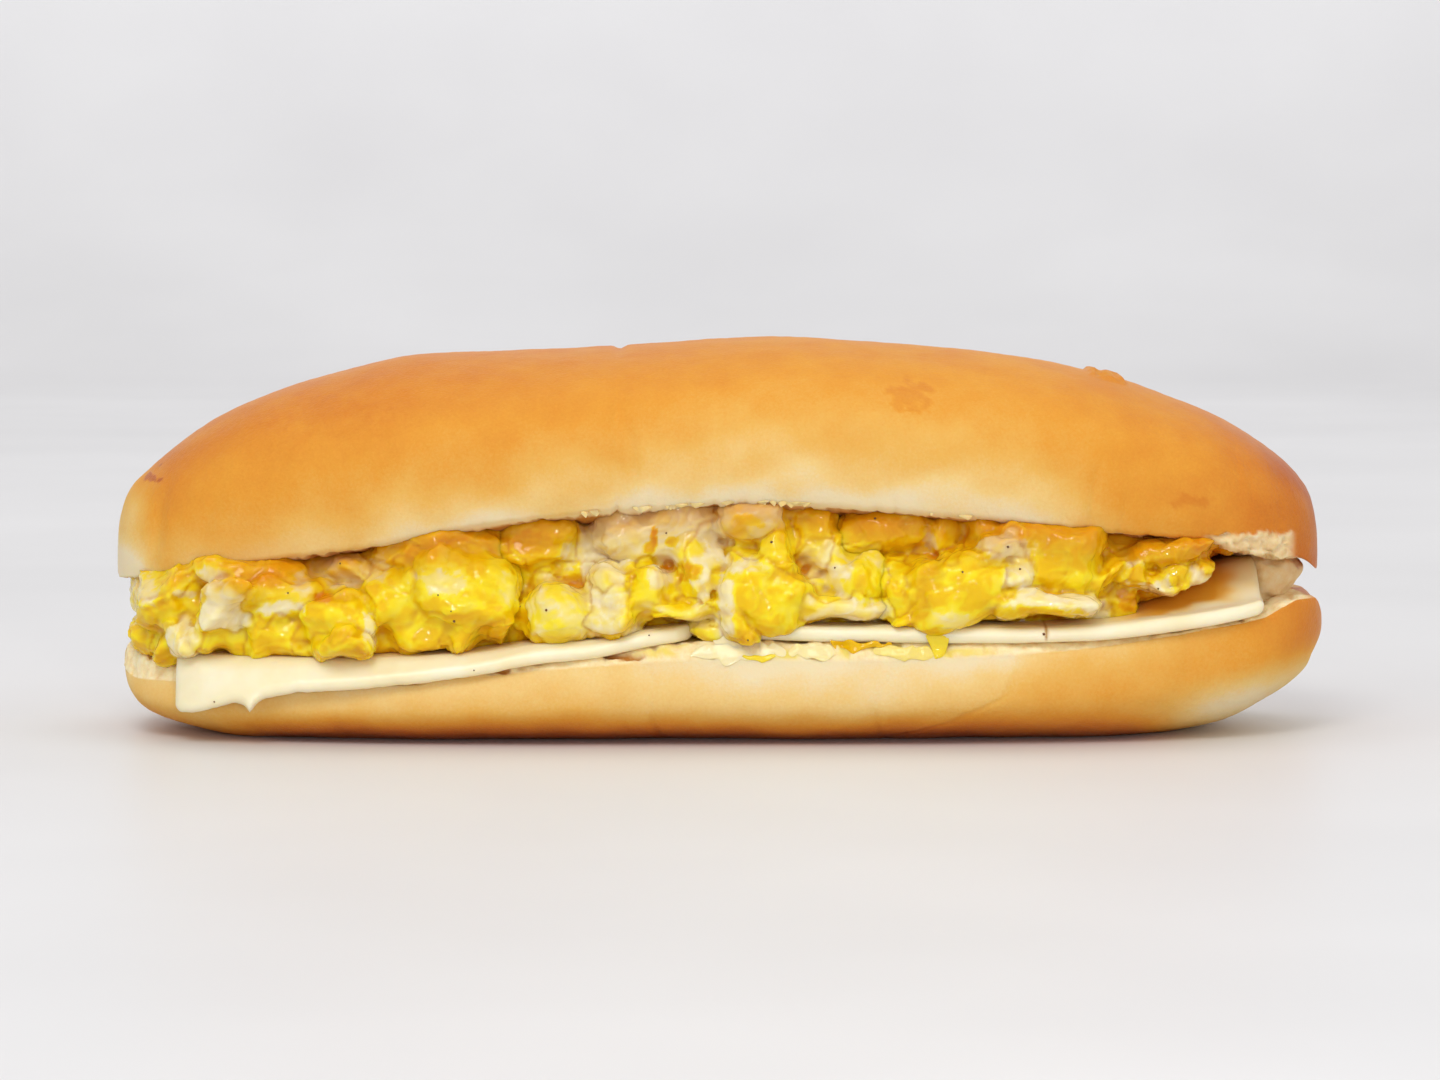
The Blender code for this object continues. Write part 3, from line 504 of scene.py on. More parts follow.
def closed_grid(points):
    """Vertices and faces of a tube of rings whose first and last ring shrink to one point each."""
    rows, ring = points.shape[:2]
    poles = np.stack([points[0].mean(axis=0), points[-1].mean(axis=0)])
    body = points[1:-1].reshape(-1, 3)
    index = np.arange(len(body)).reshape(rows - 2, ring)
    after = np.roll(index, -1, axis=1)
    quads = np.stack([index[:-1], after[:-1], after[1:], index[1:]], axis=-1).reshape(-1, 4)
    first, last = np.full(ring, len(body)), np.full(ring, len(body) + 1)
    ends = [
        np.stack([first, after[0], index[0]], axis=-1),
        np.stack([last, index[-1], after[-1]], axis=-1),
    ]
    return np.vstack([body, poles]), quads, np.vstack(ends)


def on_grid(values):
    """One value for each vertex of closed_grid, from one value for each point of its grid."""
    return np.concatenate([values[1:-1].ravel(), [values[0].mean(), values[-1].mean()]])


def joined(grids):
    """One shape from several closed grids, with the faces renumbered."""
    shapes = [closed_grid(points) for points in grids]
    start = np.cumsum([0] + [len(shape[0]) for shape in shapes[:-1]])
    vertices = np.vstack([shape[0] for shape in shapes])
    quads = np.vstack([shape[1] + shift for shape, shift in zip(shapes, start)])
    triangles = np.vstack([shape[2] + shift for shape, shift in zip(shapes, start)])
    return vertices, quads, triangles


def volume(vertices, quads, triangles):
    """Signed volume: a sixth of the sum of the corner products of every triangle."""
    fans = np.vstack([quads[:, [0, 1, 2]], quads[:, [0, 2, 3]], triangles])
    a, b, c = (vertices[fans[:, k]] for k in range(3))
    return (a * np.cross(b, c)).sum() / 6.0


def linked(name, data):
    """Object with the given data, linked to the scene."""
    made = bpy.data.objects.new(name, data)
    bpy.context.scene.collection.objects.link(made)
    return made


def mesh_object(name, vertices, faces, material=None):
    """Object with a mesh of its own, smooth and dressed where it gets a material."""
    mesh = bpy.data.meshes.new(name)
    mesh.from_pydata(vertices.tolist(), [], faces)
    if material:
        mesh.shade_smooth()
        mesh.materials.append(material)
    return linked(name, mesh)


def read_points(mesh):
    """Vertices and normals of a mesh, one row each."""
    found = []
    for key in ("co", "normal"):
        flat = np.empty(3 * len(mesh.vertices), dtype=np.float32)
        mesh.vertices.foreach_get(key, flat)
        found.append(flat.reshape(-1, 3).astype(float))
    return found


def make_piece(name, shape, material, nodes, values=None):
    """Object in metres from one shape in millimetres, faces outwards, with its values as attributes."""
    vertices, quads, triangles = shape
    if volume(*shape) < 0.0:
        quads, triangles = quads[:, ::-1], triangles[:, ::-1]
    raised = (vertices + [0.0, 0.0, MEASURED_FROM]) * MM
    piece = mesh_object(name, raised, quads.tolist() + triangles.tolist(), material)
    for key, value in (values or {}).items():
        layer = piece.data.attributes.new(key, "FLOAT", "POINT")
        layer.data.foreach_set("value", value.astype(np.float32))
    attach(piece, BODY)
    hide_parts(*nodes)


def grid_piece(name, points, values, material, nodes, slot):
    """Piece from one grid of rings and its values."""
    values = {key: on_grid(value) for key, value in values.items()}
    make_piece(name, closed_grid(points), material, nodes, values)


# Roll.

def crust_arc(edge, side, apex, tuck_points, points):
    """Crust from a cut edge to the apex: a parabola up to the widest point, then a quarter of an oval."""
    share = (np.arange(tuck_points) / tuck_points)[None, :]
    low_y = side[0] + (edge[0] - side[0]) * (1.0 - share) ** 2
    low_z = edge[1] + (side[1] - edge[1]) * share
    turn = np.linspace(0.0, 0.5 * math.pi, points - tuck_points + 1)[None, :]
    high_y = apex[0] + (side[0] - apex[0]) * np.cos(turn) ** (2.0 / ARC_POWER)
    high_z = side[1] + (apex[1] - side[1]) * np.sin(turn) ** (2.0 / ARC_POWER)
    return np.hstack([low_y, high_y]), np.hstack([low_z, high_z])


def half_ring(x, front_ends, back_ends, apex, face):
    """Grid of one half from the (edge, side) of both crusts: front crust, back crust, then the cut face.

    Also gives 1 on the cut face and 0 on the crust.
    """
    front_y, front_z = crust_arc(*front_ends, apex, FRONT_TUCK, FRONT_POINTS)
    back_y, back_z = crust_arc(*back_ends, apex, BACK_TUCK, BACK_POINTS)
    y = np.hstack([front_y, back_y[:, -2::-1], face[0]])
    z = np.hstack([front_z, back_z[:, -2::-1], face[1]])
    is_face = (np.arange(y.shape[1]) > CORNERS[1]) * np.ones_like(x)
    return grid_of(x, y, z), is_face


def first_bake(x, points, from_lip, lip_to_hinge, lines, seed):
    """How brown the crust is before its marks, paler towards the cut, and the patches in it."""
    brown, paler, fade = (along(line, x) for line in lines)
    to_back = step_up(points[..., 1], *BACK_FROM)
    from_cut = np.maximum(from_lip + lip_to_hinge * to_back, 0.0)
    patchy = noise(points, (9.0, 9.0, 5.0), seed)
    less = paler * np.exp(-from_cut / fade) * (1.0 - 0.5 * to_back)
    return brown - less * (1.0 + 0.5 * patchy) + 0.05 * patchy, patchy


def fold_depth(x, share, folds):
    """Depth of the soft folds: a narrow bell across each line that runs from the lip to the crown."""
    depth = np.zeros(np.broadcast(x, share).shape)
    for low_x, high_x, deep, wide, reach in folds:
        middle = low_x + (high_x - low_x) * share + 0.8 * np.sin(share * 7.0 + low_x)
        fade = step_down(share, 0.6 * reach, 1.1 * reach)
        depth += deep * fade * np.exp(-((x - middle) / wide) ** 2)
    return depth


def crust_relief(points, share, folds):
    """Height of the crust's relief: slow swells, shallow dimples, fine wrinkles, less the folds."""
    x = points[..., 0]
    swells = 0.35 * noise(points, 26.0, 3) + 0.16 * noise(points, 9.0, 5)
    wrinkles = 0.07 * noise(warp(points, 5.0, 1.0, 7), (1.6, 2.2, 3.4), 9)
    return swells + wrinkles - fold_depth(x, share, folds)


def crumb_relief(points):
    """Height of torn crumb: pits where a noise is high, over a rough ground."""
    ground = 0.45 * noise(points, 5.5, 21) + 0.3 * noise(points, 2.2, 22)
    pits = step_up(noise(points, 1.9, 23), 0.1, 0.55) + 0.6 * step_up(noise(points, 1.0, 24), 0.15, 0.6)
    return ground - 0.5 * pits


def top_half():
    """Domed half over the slot as a grid, with how brown and how much crumb each point is."""
    x = stations(CROWN[0][0], CROWN[-1][0], ROLL_STATIONS)[:, None]
    width = plan(x, CROWN)
    crown, lip, hinge = along(CROWN, x), along(TOP_LIP, x), along(TOP_HINGE, x)
    torn = 0.25 + 0.55 * band(x, TORN_MIDDLE) + 0.7 * band(x, TORN_END)
    ragged = torn * (lengthwise_noise(x, 2.2, 31) + 0.6 * lengthwise_noise(x, 0.9, 32)) * width
    lip = lip + ragged - 1.3 * band(x, SUNKEN_END)
    front_edge = (-(TOP_FRONT_WIDTH - LIP_TUCK) * width, lip)
    front_side = (-TOP_FRONT_WIDTH * width, lip + 0.2 * (crown - lip))
    back_edge = ((TOP_BACK_WIDTH - LIP_TUCK) * width, hinge)
    back_side = (TOP_BACK_WIDTH * width, hinge + 0.22 * (crown - hinge))
    share = np.linspace(0.0, 1.0, FACE_POINTS + 2)[None, 1:-1]
    face = [back_edge[k] + (front_edge[k] - back_edge[k]) * share for k in (0, 1)]
    apex = (CROWN_OFFSET * width, crown)
    points, is_face = half_ring(x, (front_edge, front_side), (back_edge, back_side), apex, face)
    z = points[..., 2]
    over_lip = z - lip
    share_up = np.clip(over_lip / np.maximum(crown - lip, 1.0), 0.0, 1.0)
    lines = (TOP_BAKE, TOP_PALER, TOP_FADE)
    bake = first_bake(x, points, over_lip, lip - hinge, lines, 41)[0] + 0.08 * step_up(share_up, 0.6, 1.0)
    in_front = points[..., 1] < 0.0
    crust_edge = BARE_EDGE + 0.9 * noise(points, 2.5, 43) + 0.5 * noise(points, 0.9, 44)
    bare = in_front * band(x, BARE_END) * step_down(z - crust_edge, -0.5, 0.1)
    ragged_edge = noise(points, 2.0, 33) + 0.5 * noise(points, 0.9, 34)
    for *spot, brown in SCUFFS:
        bake = bake + in_front * brown * step_down(from_spot(x, z, spot) + ragged_edge, 0.6, 1.2)
    crumb = np.maximum(is_face * step_down(x, 94.0, 96.5), bare)
    points = soften(points, CORNERS, 4, 5)
    normal = ring_normals(points)
    relief = crust_relief(points, share_up, TOP_FOLDS) * (1.0 - crumb)
    relief = relief + crumb_relief(points) * crumb * (1.0 + 0.6 * bare)
    flake = band(x, FLAKE) * step_up(share_up, 0.975, 0.985)
    flake = flake * np.clip(0.6 + 1.4 * noise(points, 2.0, 36), 0.0, 1.0)
    notch = np.exp(-((x - NOTCH_X) / 0.9) ** 2) * step_up(share_up, 0.94, 1.0)
    relief = relief + 0.8 * flake - 0.6 * notch
    points = points + normal * (relief * np.minimum(width * 3.0, 1.0))[..., None]
    # Painted shade: crumb of the cut face turns brown further back from the front, less at the right end;
    # the bare crumb gets a little.
    deep = is_face * step_up(points[..., 1] + TOP_FRONT_WIDTH * width, 1.0, 5.0)
    deep = np.maximum(deep * (1.0 - 0.8 * step_up(x, 78.0, 88.0)), 0.25 * bare)
    return points, {"bake": bake, "crumb": crumb, "deep": deep, "soaked": 0.0 * bake}


def bottom_face(x, y):
    """Height of the bottom half's cut face: it rises from the lip to a shelf, then runs to the hinge."""
    width = np.maximum(BOTTOM_WIDTH * plan(x), 0.001)
    rise = step_up(y + width, 0.0, SHELF_DEPTH)
    front = along(BOTTOM_LIP, x) + (along(BOTTOM_SHELF, x) - along(BOTTOM_LIP, x)) * rise
    span = np.maximum(2.0 * width - SHELF_DEPTH - LIP_TUCK, 1.0)
    back = np.clip((y + width - SHELF_DEPTH) / span, 0.0, 1.0)
    return front + (along(BOTTOM_HINGE, x) - front) * back


def bottom_half():
    """Half under the slot as a grid, with its flat base, and how brown and how much crumb each point is."""
    x = stations(KEEL[0][0], KEEL[-1][0], ROLL_STATIONS)[:, None]
    width = BOTTOM_WIDTH * plan(x)
    keel, lip, hinge = along(KEEL, x), along(BOTTOM_LIP, x), along(BOTTOM_HINGE, x)
    edge = width - LIP_TUCK * plan(x)
    front_ends = (-edge, lip), (-width, lip + 0.34 * (keel - lip))
    back_ends = (edge, hinge), (width, hinge + 0.34 * (keel - hinge))
    share = 1.0 - np.linspace(0.0, 1.0, FACE_POINTS + 2)[None, -2:0:-1] ** 1.6
    face_y = edge - 2.0 * edge * share
    face = (face_y, bottom_face(x, face_y))
    points, is_face = half_ring(x, front_ends, back_ends, (0.0 * width, keel), face)
    z = points[..., 2]
    under_lip = lip - z
    share_down = np.clip(under_lip / np.maximum(lip - keel, 1.0), 0.0, 1.0)
    lines = (BOTTOM_BAKE, BOTTOM_PALER, BOTTOM_FADE)
    bake, patchy = first_bake(x, points, under_lip, hinge - lip, lines, 45)
    pale_keel = step_up(x, 64.0, 82.0) * step_down(z - 0.3 * (x - 80.0), 4.0, 11.0)
    # Darker towards the base; near the table this is partly browner crust and partly painted contact shade.
    bake = bake - 0.5 * pale_keel + 0.2 * step_up(share_down, 0.45, 0.95) * (1.0 - pale_keel)
    base_browning_and_shade = step_down(z + MEASURED_FROM + patchy, 0.5, 7.0) * step_up(x, -86.0, -66.0)
    bake = bake + 0.5 * base_browning_and_shade * (1.0 - 0.45 * step_up(x, 30.0, 50.0))
    bake = bake - 0.1 * step_up(share_down, 0.3, 0.7) * step_up(x, 55.0, 75.0)
    crumb = is_face * step_down(x + 3.0 * patchy, 95.5, 98.0)
    points = soften(points, CORNERS, 4, 5)
    normal = ring_normals(points)
    in_front, z = points[..., 1] < 0.0, points[..., 2]
    heights, places = np.array(SOFT_EDGE).T
    past = x - np.interp(z, heights, places) - 0.5 * noise(points, 3.0, 37)
    orange = band(past, (0.0, 0.7, 6.0, 26.0)) * in_front
    bake = bake + 0.06 * orange * (1.0 - crumb)
    relief = crust_relief(points, share_down, BOTTOM_FOLDS) - 0.2 * orange * step_down(past, 0.5, 3.0)
    relief = relief * (1.0 - crumb) + crumb_relief(points) * crumb
    gap = 0.0 * relief
    for spot in BREAD_GAPS:
        inside = step_down(from_spot(x, z, spot) + 0.4 * patchy, 0.6, 1.3)
        gap = np.maximum(gap, in_front * inside)
    relief = relief - 0.7 * gap
    points = points + normal * (relief * np.minimum(plan(x) * 3.0, 1.0))[..., None]
    points[..., 2] = np.maximum(points[..., 2], -MEASURED_FROM)
    # Painted shade: crumb of the cut face turns brown further back in the slot, less at both ends.
    deep = is_face * step_up(points[..., 1] + width, SHELF_DEPTH + 2.0, SHELF_DEPTH + 7.0)
    deep = deep * step_down(np.abs(x), 78.0, 85.0)
    streaks = noise(warp(points, 4.0, 1.5, 38), (7.0, 3.0, 1.4), 39)
    soaked = crumb * band(x, SOAKED) * step_up(streaks, 0.02, 0.4)
    # Painted shade: the gaps take the dark crumb colour.
    crumb, deep = np.maximum(crumb, gap), np.maximum(deep, gap)
    return points, {"bake": bake, "crumb": crumb, "deep": deep, "soaked": soaked}


def hinge_web():
    """Uncut bread along the back as a grid of rings: a rounded bar between both cut faces."""
    x = stations(*HINGE_ENDS, HINGE_GRID[0])[:, None]
    back = BOTTOM_WIDTH * plan(x)
    low = along(BOTTOM_HINGE, x) - 4.0
    high = along(TOP_HINGE, x) + 4.0
    near_end = step_up(x, 80.0, 88.0)
    inner, outer = back - HINGE_DEPTH - 25.0 * near_end, back - HINGE_RECESS - LIP_TUCK
    turn = full_turn(HINGE_GRID[1])
    across, upright = blunt(np.cos(turn), 0.5), blunt(np.sin(turn), 0.5)
    end = np.minimum(plan(x, [(HINGE_ENDS[0], 0), (HINGE_ENDS[1], 0)]) * 1.6, 1.0)
    y = 0.5 * (inner + outer) + 0.5 * (outer - inner) * across * end
    z = 0.5 * (low + high) + 0.5 * (high - low) * upright * end
    flare = 3.2 * step_up(x, 82.0, 94.0) * step_up(z, 20.0, 27.0)
    points = grid_of(x + flare, y, z)
    crumb = 1.0 - step_up(across, 0.2, 0.7) * np.ones_like(x)
    normal = ring_normals(points)
    points = points + normal * (crumb_relief(points) * crumb * end * (1.0 + 0.5 * near_end))[..., None]
    bake = 0.55 + 0.1 * noise(points, 12.0, 47)
    # Painted shade: the hinge's crumb in the slot is darkened, less at the right end.
    deep = 0.5 * crumb * (1.0 - 0.6 * near_end)
    return points, {"bake": bake, "crumb": crumb, "deep": deep, "soaked": 0.0 * bake}


def shred(x, length, width, lean):
    """Torn crumb that hangs from the lip: an oval section, narrow at both ends, on a line that bends out."""
    share = np.linspace(0.0, 1.0, 9)[:, None]
    turn = full_turn(8)
    half = 0.5 * width * np.sin(math.pi * share ** 0.6)
    root_y = -(TOP_FRONT_WIDTH - LIP_TUCK) * plan(x, CROWN) - 0.1
    root_z = along(TOP_LIP, x) + 0.6
    across = x + lean * length * share + half * np.cos(turn)
    deep = root_y - 0.3 * length * share ** 2 + 0.35 * half * np.sin(turn)
    return grid_of(across, deep, root_z - length * share)


# Cheese.

def slice_section(x, droop):
    """Middle line of a slice at every station: flat on the bread, round a bend, then straight down."""
    flat_points, bend_points, straight_points = SLICE_POINTS
    table = np.array(droop, dtype=float)
    over, bend, straight = (np.interp(x, table[:, 0], table[:, k])[:, None] for k in (1, 2, 3))
    bend, x = np.radians(bend), x[:, None]
    tooth = 2.2 * np.exp(-np.abs((x - TOOTH_X) / 1.1) ** 1.3)
    straight = straight + (0.35 * lengthwise_noise(x, 5.0, 51) + 0.2 * lengthwise_noise(x, 1.6, 52))
    edge = -(BOTTOM_WIDTH * plan(x) + over)
    start = edge + BEND_RADIUS * np.sin(bend) + straight * np.cos(bend)
    rest = CHEESE_REST + 0.5 * CHEESE_THICKNESS
    back = np.minimum(CHEESE_BACK, BOTTOM_WIDTH * plan(x) - HINGE_DEPTH - 2.0)
    share = np.linspace(0.0, 1.0, flat_points + 1)[None, :]
    flat_y = back + (start - back) * share
    shelf_edge = SHELF_DEPTH - BOTTOM_WIDTH * plan(x)
    flat_z = bottom_face(x, np.maximum(flat_y, shelf_edge)) + rest
    flat_z = flat_z + CHEESE_CURL * step_up(x, 62.0, 86.0) * step_up(flat_y - start, 1.5, 17.0)
    turn = bend * np.linspace(0.0, 1.0, bend_points + 1)[None, 1:]
    bent_y = start - BEND_RADIUS * np.sin(turn)
    bent_z = flat_z[:, -1:] - BEND_RADIUS * (1.0 - np.cos(turn))
    run = np.linspace(0.0, 1.0, straight_points + 1)[None, 1:]
    down = straight * run + tooth * run ** 5
    last_y = bent_y[:, -1:] - down * np.cos(bend)
    last_z = bent_z[:, -1:] - down * np.sin(bend)
    return np.hstack([flat_y, bent_y, last_y]), np.hstack([flat_z, bent_z, last_z])


def cheese_slice(ends, droop):
    """Sheet with rounded edges: half circles at both edges of its middle line, and thin rounded ends."""
    inset = 0.5 * CHEESE_THICKNESS
    x = np.concatenate([
        ends[0] + inset * (1.0 - np.cos(np.linspace(0.0, 0.5 * math.pi, 7)[:-1])),
        np.linspace(ends[0] + inset, ends[1] - inset, 210),
        ends[1] - inset * (1.0 - np.cos(np.linspace(0.5 * math.pi, 0.0, 7)[1:])),
    ])
    y, z = slice_section(x, droop)
    from_end = np.minimum(x - ends[0], ends[1] - x)
    round_end = np.sqrt(np.clip(1.0 - (1.0 - np.minimum(from_end / inset, 1.0)) ** 2, 0.0, 1.0))
    half = (0.5 * CHEESE_THICKNESS * round_end)[:, None]
    along_y, along_z = np.gradient(y, axis=1), np.gradient(z, axis=1)
    length = np.maximum(np.hypot(along_y, along_z), 1e-6)
    way_y, way_z = along_y / length, along_z / length
    turn = np.linspace(0.0, math.pi, 9)[None, 1:-1]

    def cap(column, sign):
        """Half circle round one edge of the sheet, from its upper to its lower side."""
        middle_y, middle_z, ty, tz = (line[:, [column]] for line in (y, z, way_y, way_z))
        out, up = np.sin(turn) * half * sign, np.cos(turn) * half
        return middle_y + ty * out + tz * up, middle_z + tz * out - ty * up

    upper_y, upper_z = y + way_z * half, z - way_y * half
    lower_y, lower_z = y - way_z * half, z + way_y * half
    front_y, front_z = cap(-1, 1.0)
    back_y, back_z = cap(0, -1.0)
    ring_y = np.hstack([upper_y, front_y, lower_y[:, ::-1], back_y[:, ::-1]])
    ring_z = np.hstack([upper_z, front_z, lower_z[:, ::-1], back_z[:, ::-1]])
    points = grid_of(x[:, None], ring_y, ring_z)
    normal = ring_normals(points)
    relief = 0.12 * noise(points, 11.0, 53) + 0.05 * noise(points, 3.0, 54)
    points = points + normal * (relief * round_end[:, None])[..., None]
    x, z = points[..., 0], points[..., 2]
    # Painted shade: the upper face turns amber further back under the egg, standing in for its shade and the
    # yellow light bounced from it; less at the right end.
    from_front = points[..., 1] - points[..., 1].min(axis=1, keepdims=True)
    to_right = step_up(x, 60.0, 72.0)
    shade_free_rim = 3.0 - 0.6 * to_right + 2.4 * step_up(x, 71.0, 79.0)
    painted_amber_shade = step_up(from_front + 2.0 * noise(points, 4.0, 55), shade_free_rim, shade_free_rim + 7.0 - 3.0 * to_right)
    painted_amber_shade = painted_amber_shade * (1.0 - 0.8 * step_up(x + 2.0 * noise(points, 3.0, 56), 80.0, 89.0))
    painted_amber_shade = painted_amber_shade * (0.55 + 0.45 * to_right)
    mark = np.max([step_down(from_spot(x, z, spot), 0.5, 1.3) for spot in CHEESE_MARKS], axis=0)
    return points, {"painted_amber_shade": painted_amber_shade, "mark": mark}


# Egg.

def press(points):
    """Keep egg over the cheese and bread that carry it, and under the top half's cut face."""
    x, y, z = points[..., 0], points[..., 1], points[..., 2]
    on_cheese = sum(
        band(x, (first - 0.5, first + 1.0, last - 1.0, last + 0.5)) for (first, last), _ in SLICES.values()
    )
    low = bottom_face(x, y) + on_cheese * (CHEESE_REST + 0.6 * CHEESE_THICKNESS) - 0.3 * (1.0 - on_cheese)
    over_bread = step_up(y + BOTTOM_WIDTH * plan(x), -1.0, 2.0)
    z = np.where(over_bread > 0.0, np.maximum(z, low * over_bread + z * (1.0 - over_bread)), z)
    width = plan(x, CROWN)
    depth = np.maximum((TOP_FRONT_WIDTH + TOP_BACK_WIDTH - 2.0 * LIP_TUCK) * width, 1.0)
    share = ((TOP_BACK_WIDTH - LIP_TUCK) * width - y) / depth
    high = along(TOP_HINGE, x) + (along(TOP_LIP, x) - along(TOP_HINGE, x)) * np.clip(share, 0.0, 1.0)
    under_bread = step_up(y + TOP_FRONT_WIDTH * width, 0.0, 1.5)
    z = np.minimum(z, (high + 0.8) * under_bread + z * (1.0 - under_bread))
    return grid_of(x, y, z)


def curd_folds(points, seed):
    """Height of the curd surface: creased lobes of about 6 mm and low folds of 2 to 3 mm."""
    curled = warp(points, 6.0, 2.0, seed)
    lobes = pillows(curled, 6.4, seed + 11)
    folds = pillows(warp(points, 3.0, 1.2, seed + 17), (3.2, 3.2, 1.8), seed + 23)
    return 1.2 * (lobes - 0.2) + 0.6 * (folds - 0.2)


def layers(points):
    """Levels of stacked plates: a slow noise cut into whole steps, each climbed over its last third.

    Also gives how near each point is to a plate's edge, from 0 to 1.
    """
    level = np.clip(3.0 * noise(warp(points, 6.0, 2.4, 97), (7.0, 7.0, 4.6), 99), -0.9, 1.9)
    whole = np.floor(level)
    climb = step_up(level - whole, 0.6, 1.0)
    return whole + climb, 4.0 * climb * (1.0 - climb)


def curd_frame(spec, points):
    """Points carried into one curd's own frame and divided by its half sizes."""
    x, y, z, half_x, half_y, half_z, lean = spec[:7]
    own_x, own_z = leaned(points[..., 0] - x, points[..., 2] - z, -lean)
    return grid_of(own_x / half_x, (points[..., 1] - y) / half_y, own_z / half_z) / CURD_SCALE


def nearest_curds(points):
    """Share of yolk of the curds round each point, and how near it lies to where two of them meet.

    How far a point is from a curd is the p-norm in the curd's own frame, so 1 on the curd's skin.
    """
    weights = math.exp(-CURD_FADE * CORE_AWAY)
    total = np.full(len(points), CORE_YOLK * weights)
    first, second = np.full(len(points), CORE_AWAY), np.full(len(points), 4.0)
    for spec in CURDS:
        away = (np.abs(curd_frame(spec, points)) ** spec[7]).sum(axis=-1) ** (1.0 / spec[7])
        weight = np.exp(-CURD_FADE * np.minimum(away, 4.0))
        total = total + weight * spec[8]
        weights = weights + weight
        second = np.minimum(second, np.maximum(first, away))
        first = np.minimum(first, away)
    return total / weights, step_down(second - first, 0.0, SEAM_REACH)


def marbled(points, share):
    """Share of yolk with its marbling, and the painted shade that entries over 1 add: curled streaks, then
    patches through the depth.
    """
    x, z = as_seen(points)
    curls = warp(points, 3.4, 2.0, 61)
    streaks = noise(curls, (3.2, 3.2, 1.8), 67)
    edge = 0.5 * noise(curls, 2.1, 68) + 0.35 * noise(curls, 0.9, 69)
    share = share + 0.6 * streaks * np.sqrt(np.clip(share, 0.02, 1.0))
    brown = 0.0 * share
    for place_x, place_z, half_x, half_z, level in MARBLING:
        ways = ((x - place_x) / half_x, (z - place_z) / half_z)
        away = sum(np.abs(way) ** MARBLE_POWER for way in ways)
        weight = step_down(away ** (1.0 / MARBLE_POWER) + edge, 0.65, 1.3)
        share = share + (min(level, 1.0) + 0.2 * streaks - share) * weight
        brown = np.maximum(brown, max(level - 1.0, 0.0) * weight)
    return np.clip(share, 0.0, 1.0), brown


def recessed(points):
    """How far each point lies behind the heap's own front, in mm.

    The distance inside the roll's outline is taken for every cell of an x and z grid as its least
    value, spread by a box blur over FRONT_BLUR cells, and taken off the point's own distance.
    """
    x, y, z = points[:, 0], points[:, 1], points[:, 2]
    slope = (plan(x + 0.1) - plan(x - 0.1)) * BOTTOM_WIDTH / 0.2
    inside = (BOTTOM_WIDTH * plan(x) - np.abs(y)) / np.sqrt(1.0 + slope ** 2)
    column = ((x - x.min()) / FRONT_CELL).astype(int) + FRONT_BLUR
    row = ((z - z.min()) / FRONT_CELL).astype(int) + FRONT_BLUR
    front = np.full((column.max() + FRONT_BLUR + 1, row.max() + FRONT_BLUR + 1), FRONT_DEEPEST)
    np.minimum.at(front, (column, row), inside)
    for axis in (0, 1):
        shifts = range(-FRONT_BLUR, FRONT_BLUR + 1)
        front = np.mean([np.roll(front, shift, axis=axis) for shift in shifts], axis=0)
    return inside - front[column, row]


def depth_in_folds(points, normals, faces):
    """How deep each point lies in a crease, in mm: how far a smoothed copy of the skin stands over it."""
    ends = np.vstack([np.stack([faces[:, k], faces[:, (k + 1) % 4]], axis=-1) for k in range(4)])
    ends = np.vstack([ends, ends[:, ::-1]])
    count = np.maximum(np.bincount(ends[:, 0], minlength=len(points)), 1)
    smooth = points.copy()
    for _ in range(FOLD_PASSES):
        for axis in range(3):
            total = np.bincount(ends[:, 0], smooth[ends[:, 1], axis], minlength=len(points))
            smooth[:, axis] = 0.5 * smooth[:, axis] + 0.5 * total / count
    return ((smooth - points) * normals).sum(axis=1)


def ball(rings, sweep):
    """Unit vectors over a ball, from the upper pole to the lower one, a ring for each step down."""
    turn = np.linspace(0.0, math.pi, rings + 1)[:, None]
    return grid_of(np.sin(turn) * np.cos(sweep), np.sin(turn) * np.sin(sweep), np.cos(turn))


def curd(spec, lumps, seed):
    """One curd: a boxy oval |x|^p + |y|^p + |z|^p = 1, swollen by slow waves, with lower folds in front."""
    x, y, z, half_x, half_y, half_z, lean, power = spec[:8]
    rings = int(np.clip(0.5 * math.pi * (half_y + half_z) / CURD_STEP, *CURD_RINGS))
    sectors = int(np.clip(math.pi * (half_x + half_y) / CURD_STEP, *CURD_SECTORS))
    ways = ball(rings, full_turn(sectors))
    size = (np.abs(ways) ** power).sum(axis=-1) ** (1.0 / power)
    swell = 1.0 + CURD_LUMPS * sum(np.sin(ways @ wave[:3] + wave[3]) for wave in lumps)
    swell = np.stack([swell, 0.5 + 0.5 * swell, swell], axis=-1)
    shape = ways * swell / size[..., None] * CURD_SCALE * [half_x, half_y, half_z]
    own_x, own_z = leaned(shape[..., 0], shape[..., 2], lean)
    points = grid_of(own_x + x, shape[..., 1] + y, own_z + z)
    normal = ring_normals(points)
    normal[0], normal[-1] = normal[1].mean(axis=0), normal[-2].mean(axis=0)
    is_slab = power >= SLAB_POWER
    small = min(min(half_x, half_z) / 4.0, 0.7 if is_slab else 1.0)
    facing = np.clip(-normal[..., 1], 0.0, 1.0) ** 2
    relief = (curd_folds(points + 40.0 * seed, seed) * (1.0 - 0.6 * facing) + 0.25) * small
    relief[0], relief[-1] = relief[0].mean(), relief[-1].mean()
    return warp(points + normal * relief[..., None], (7.0, 14.0, 7.0), 1.2 if is_slab else 2.8, 81)


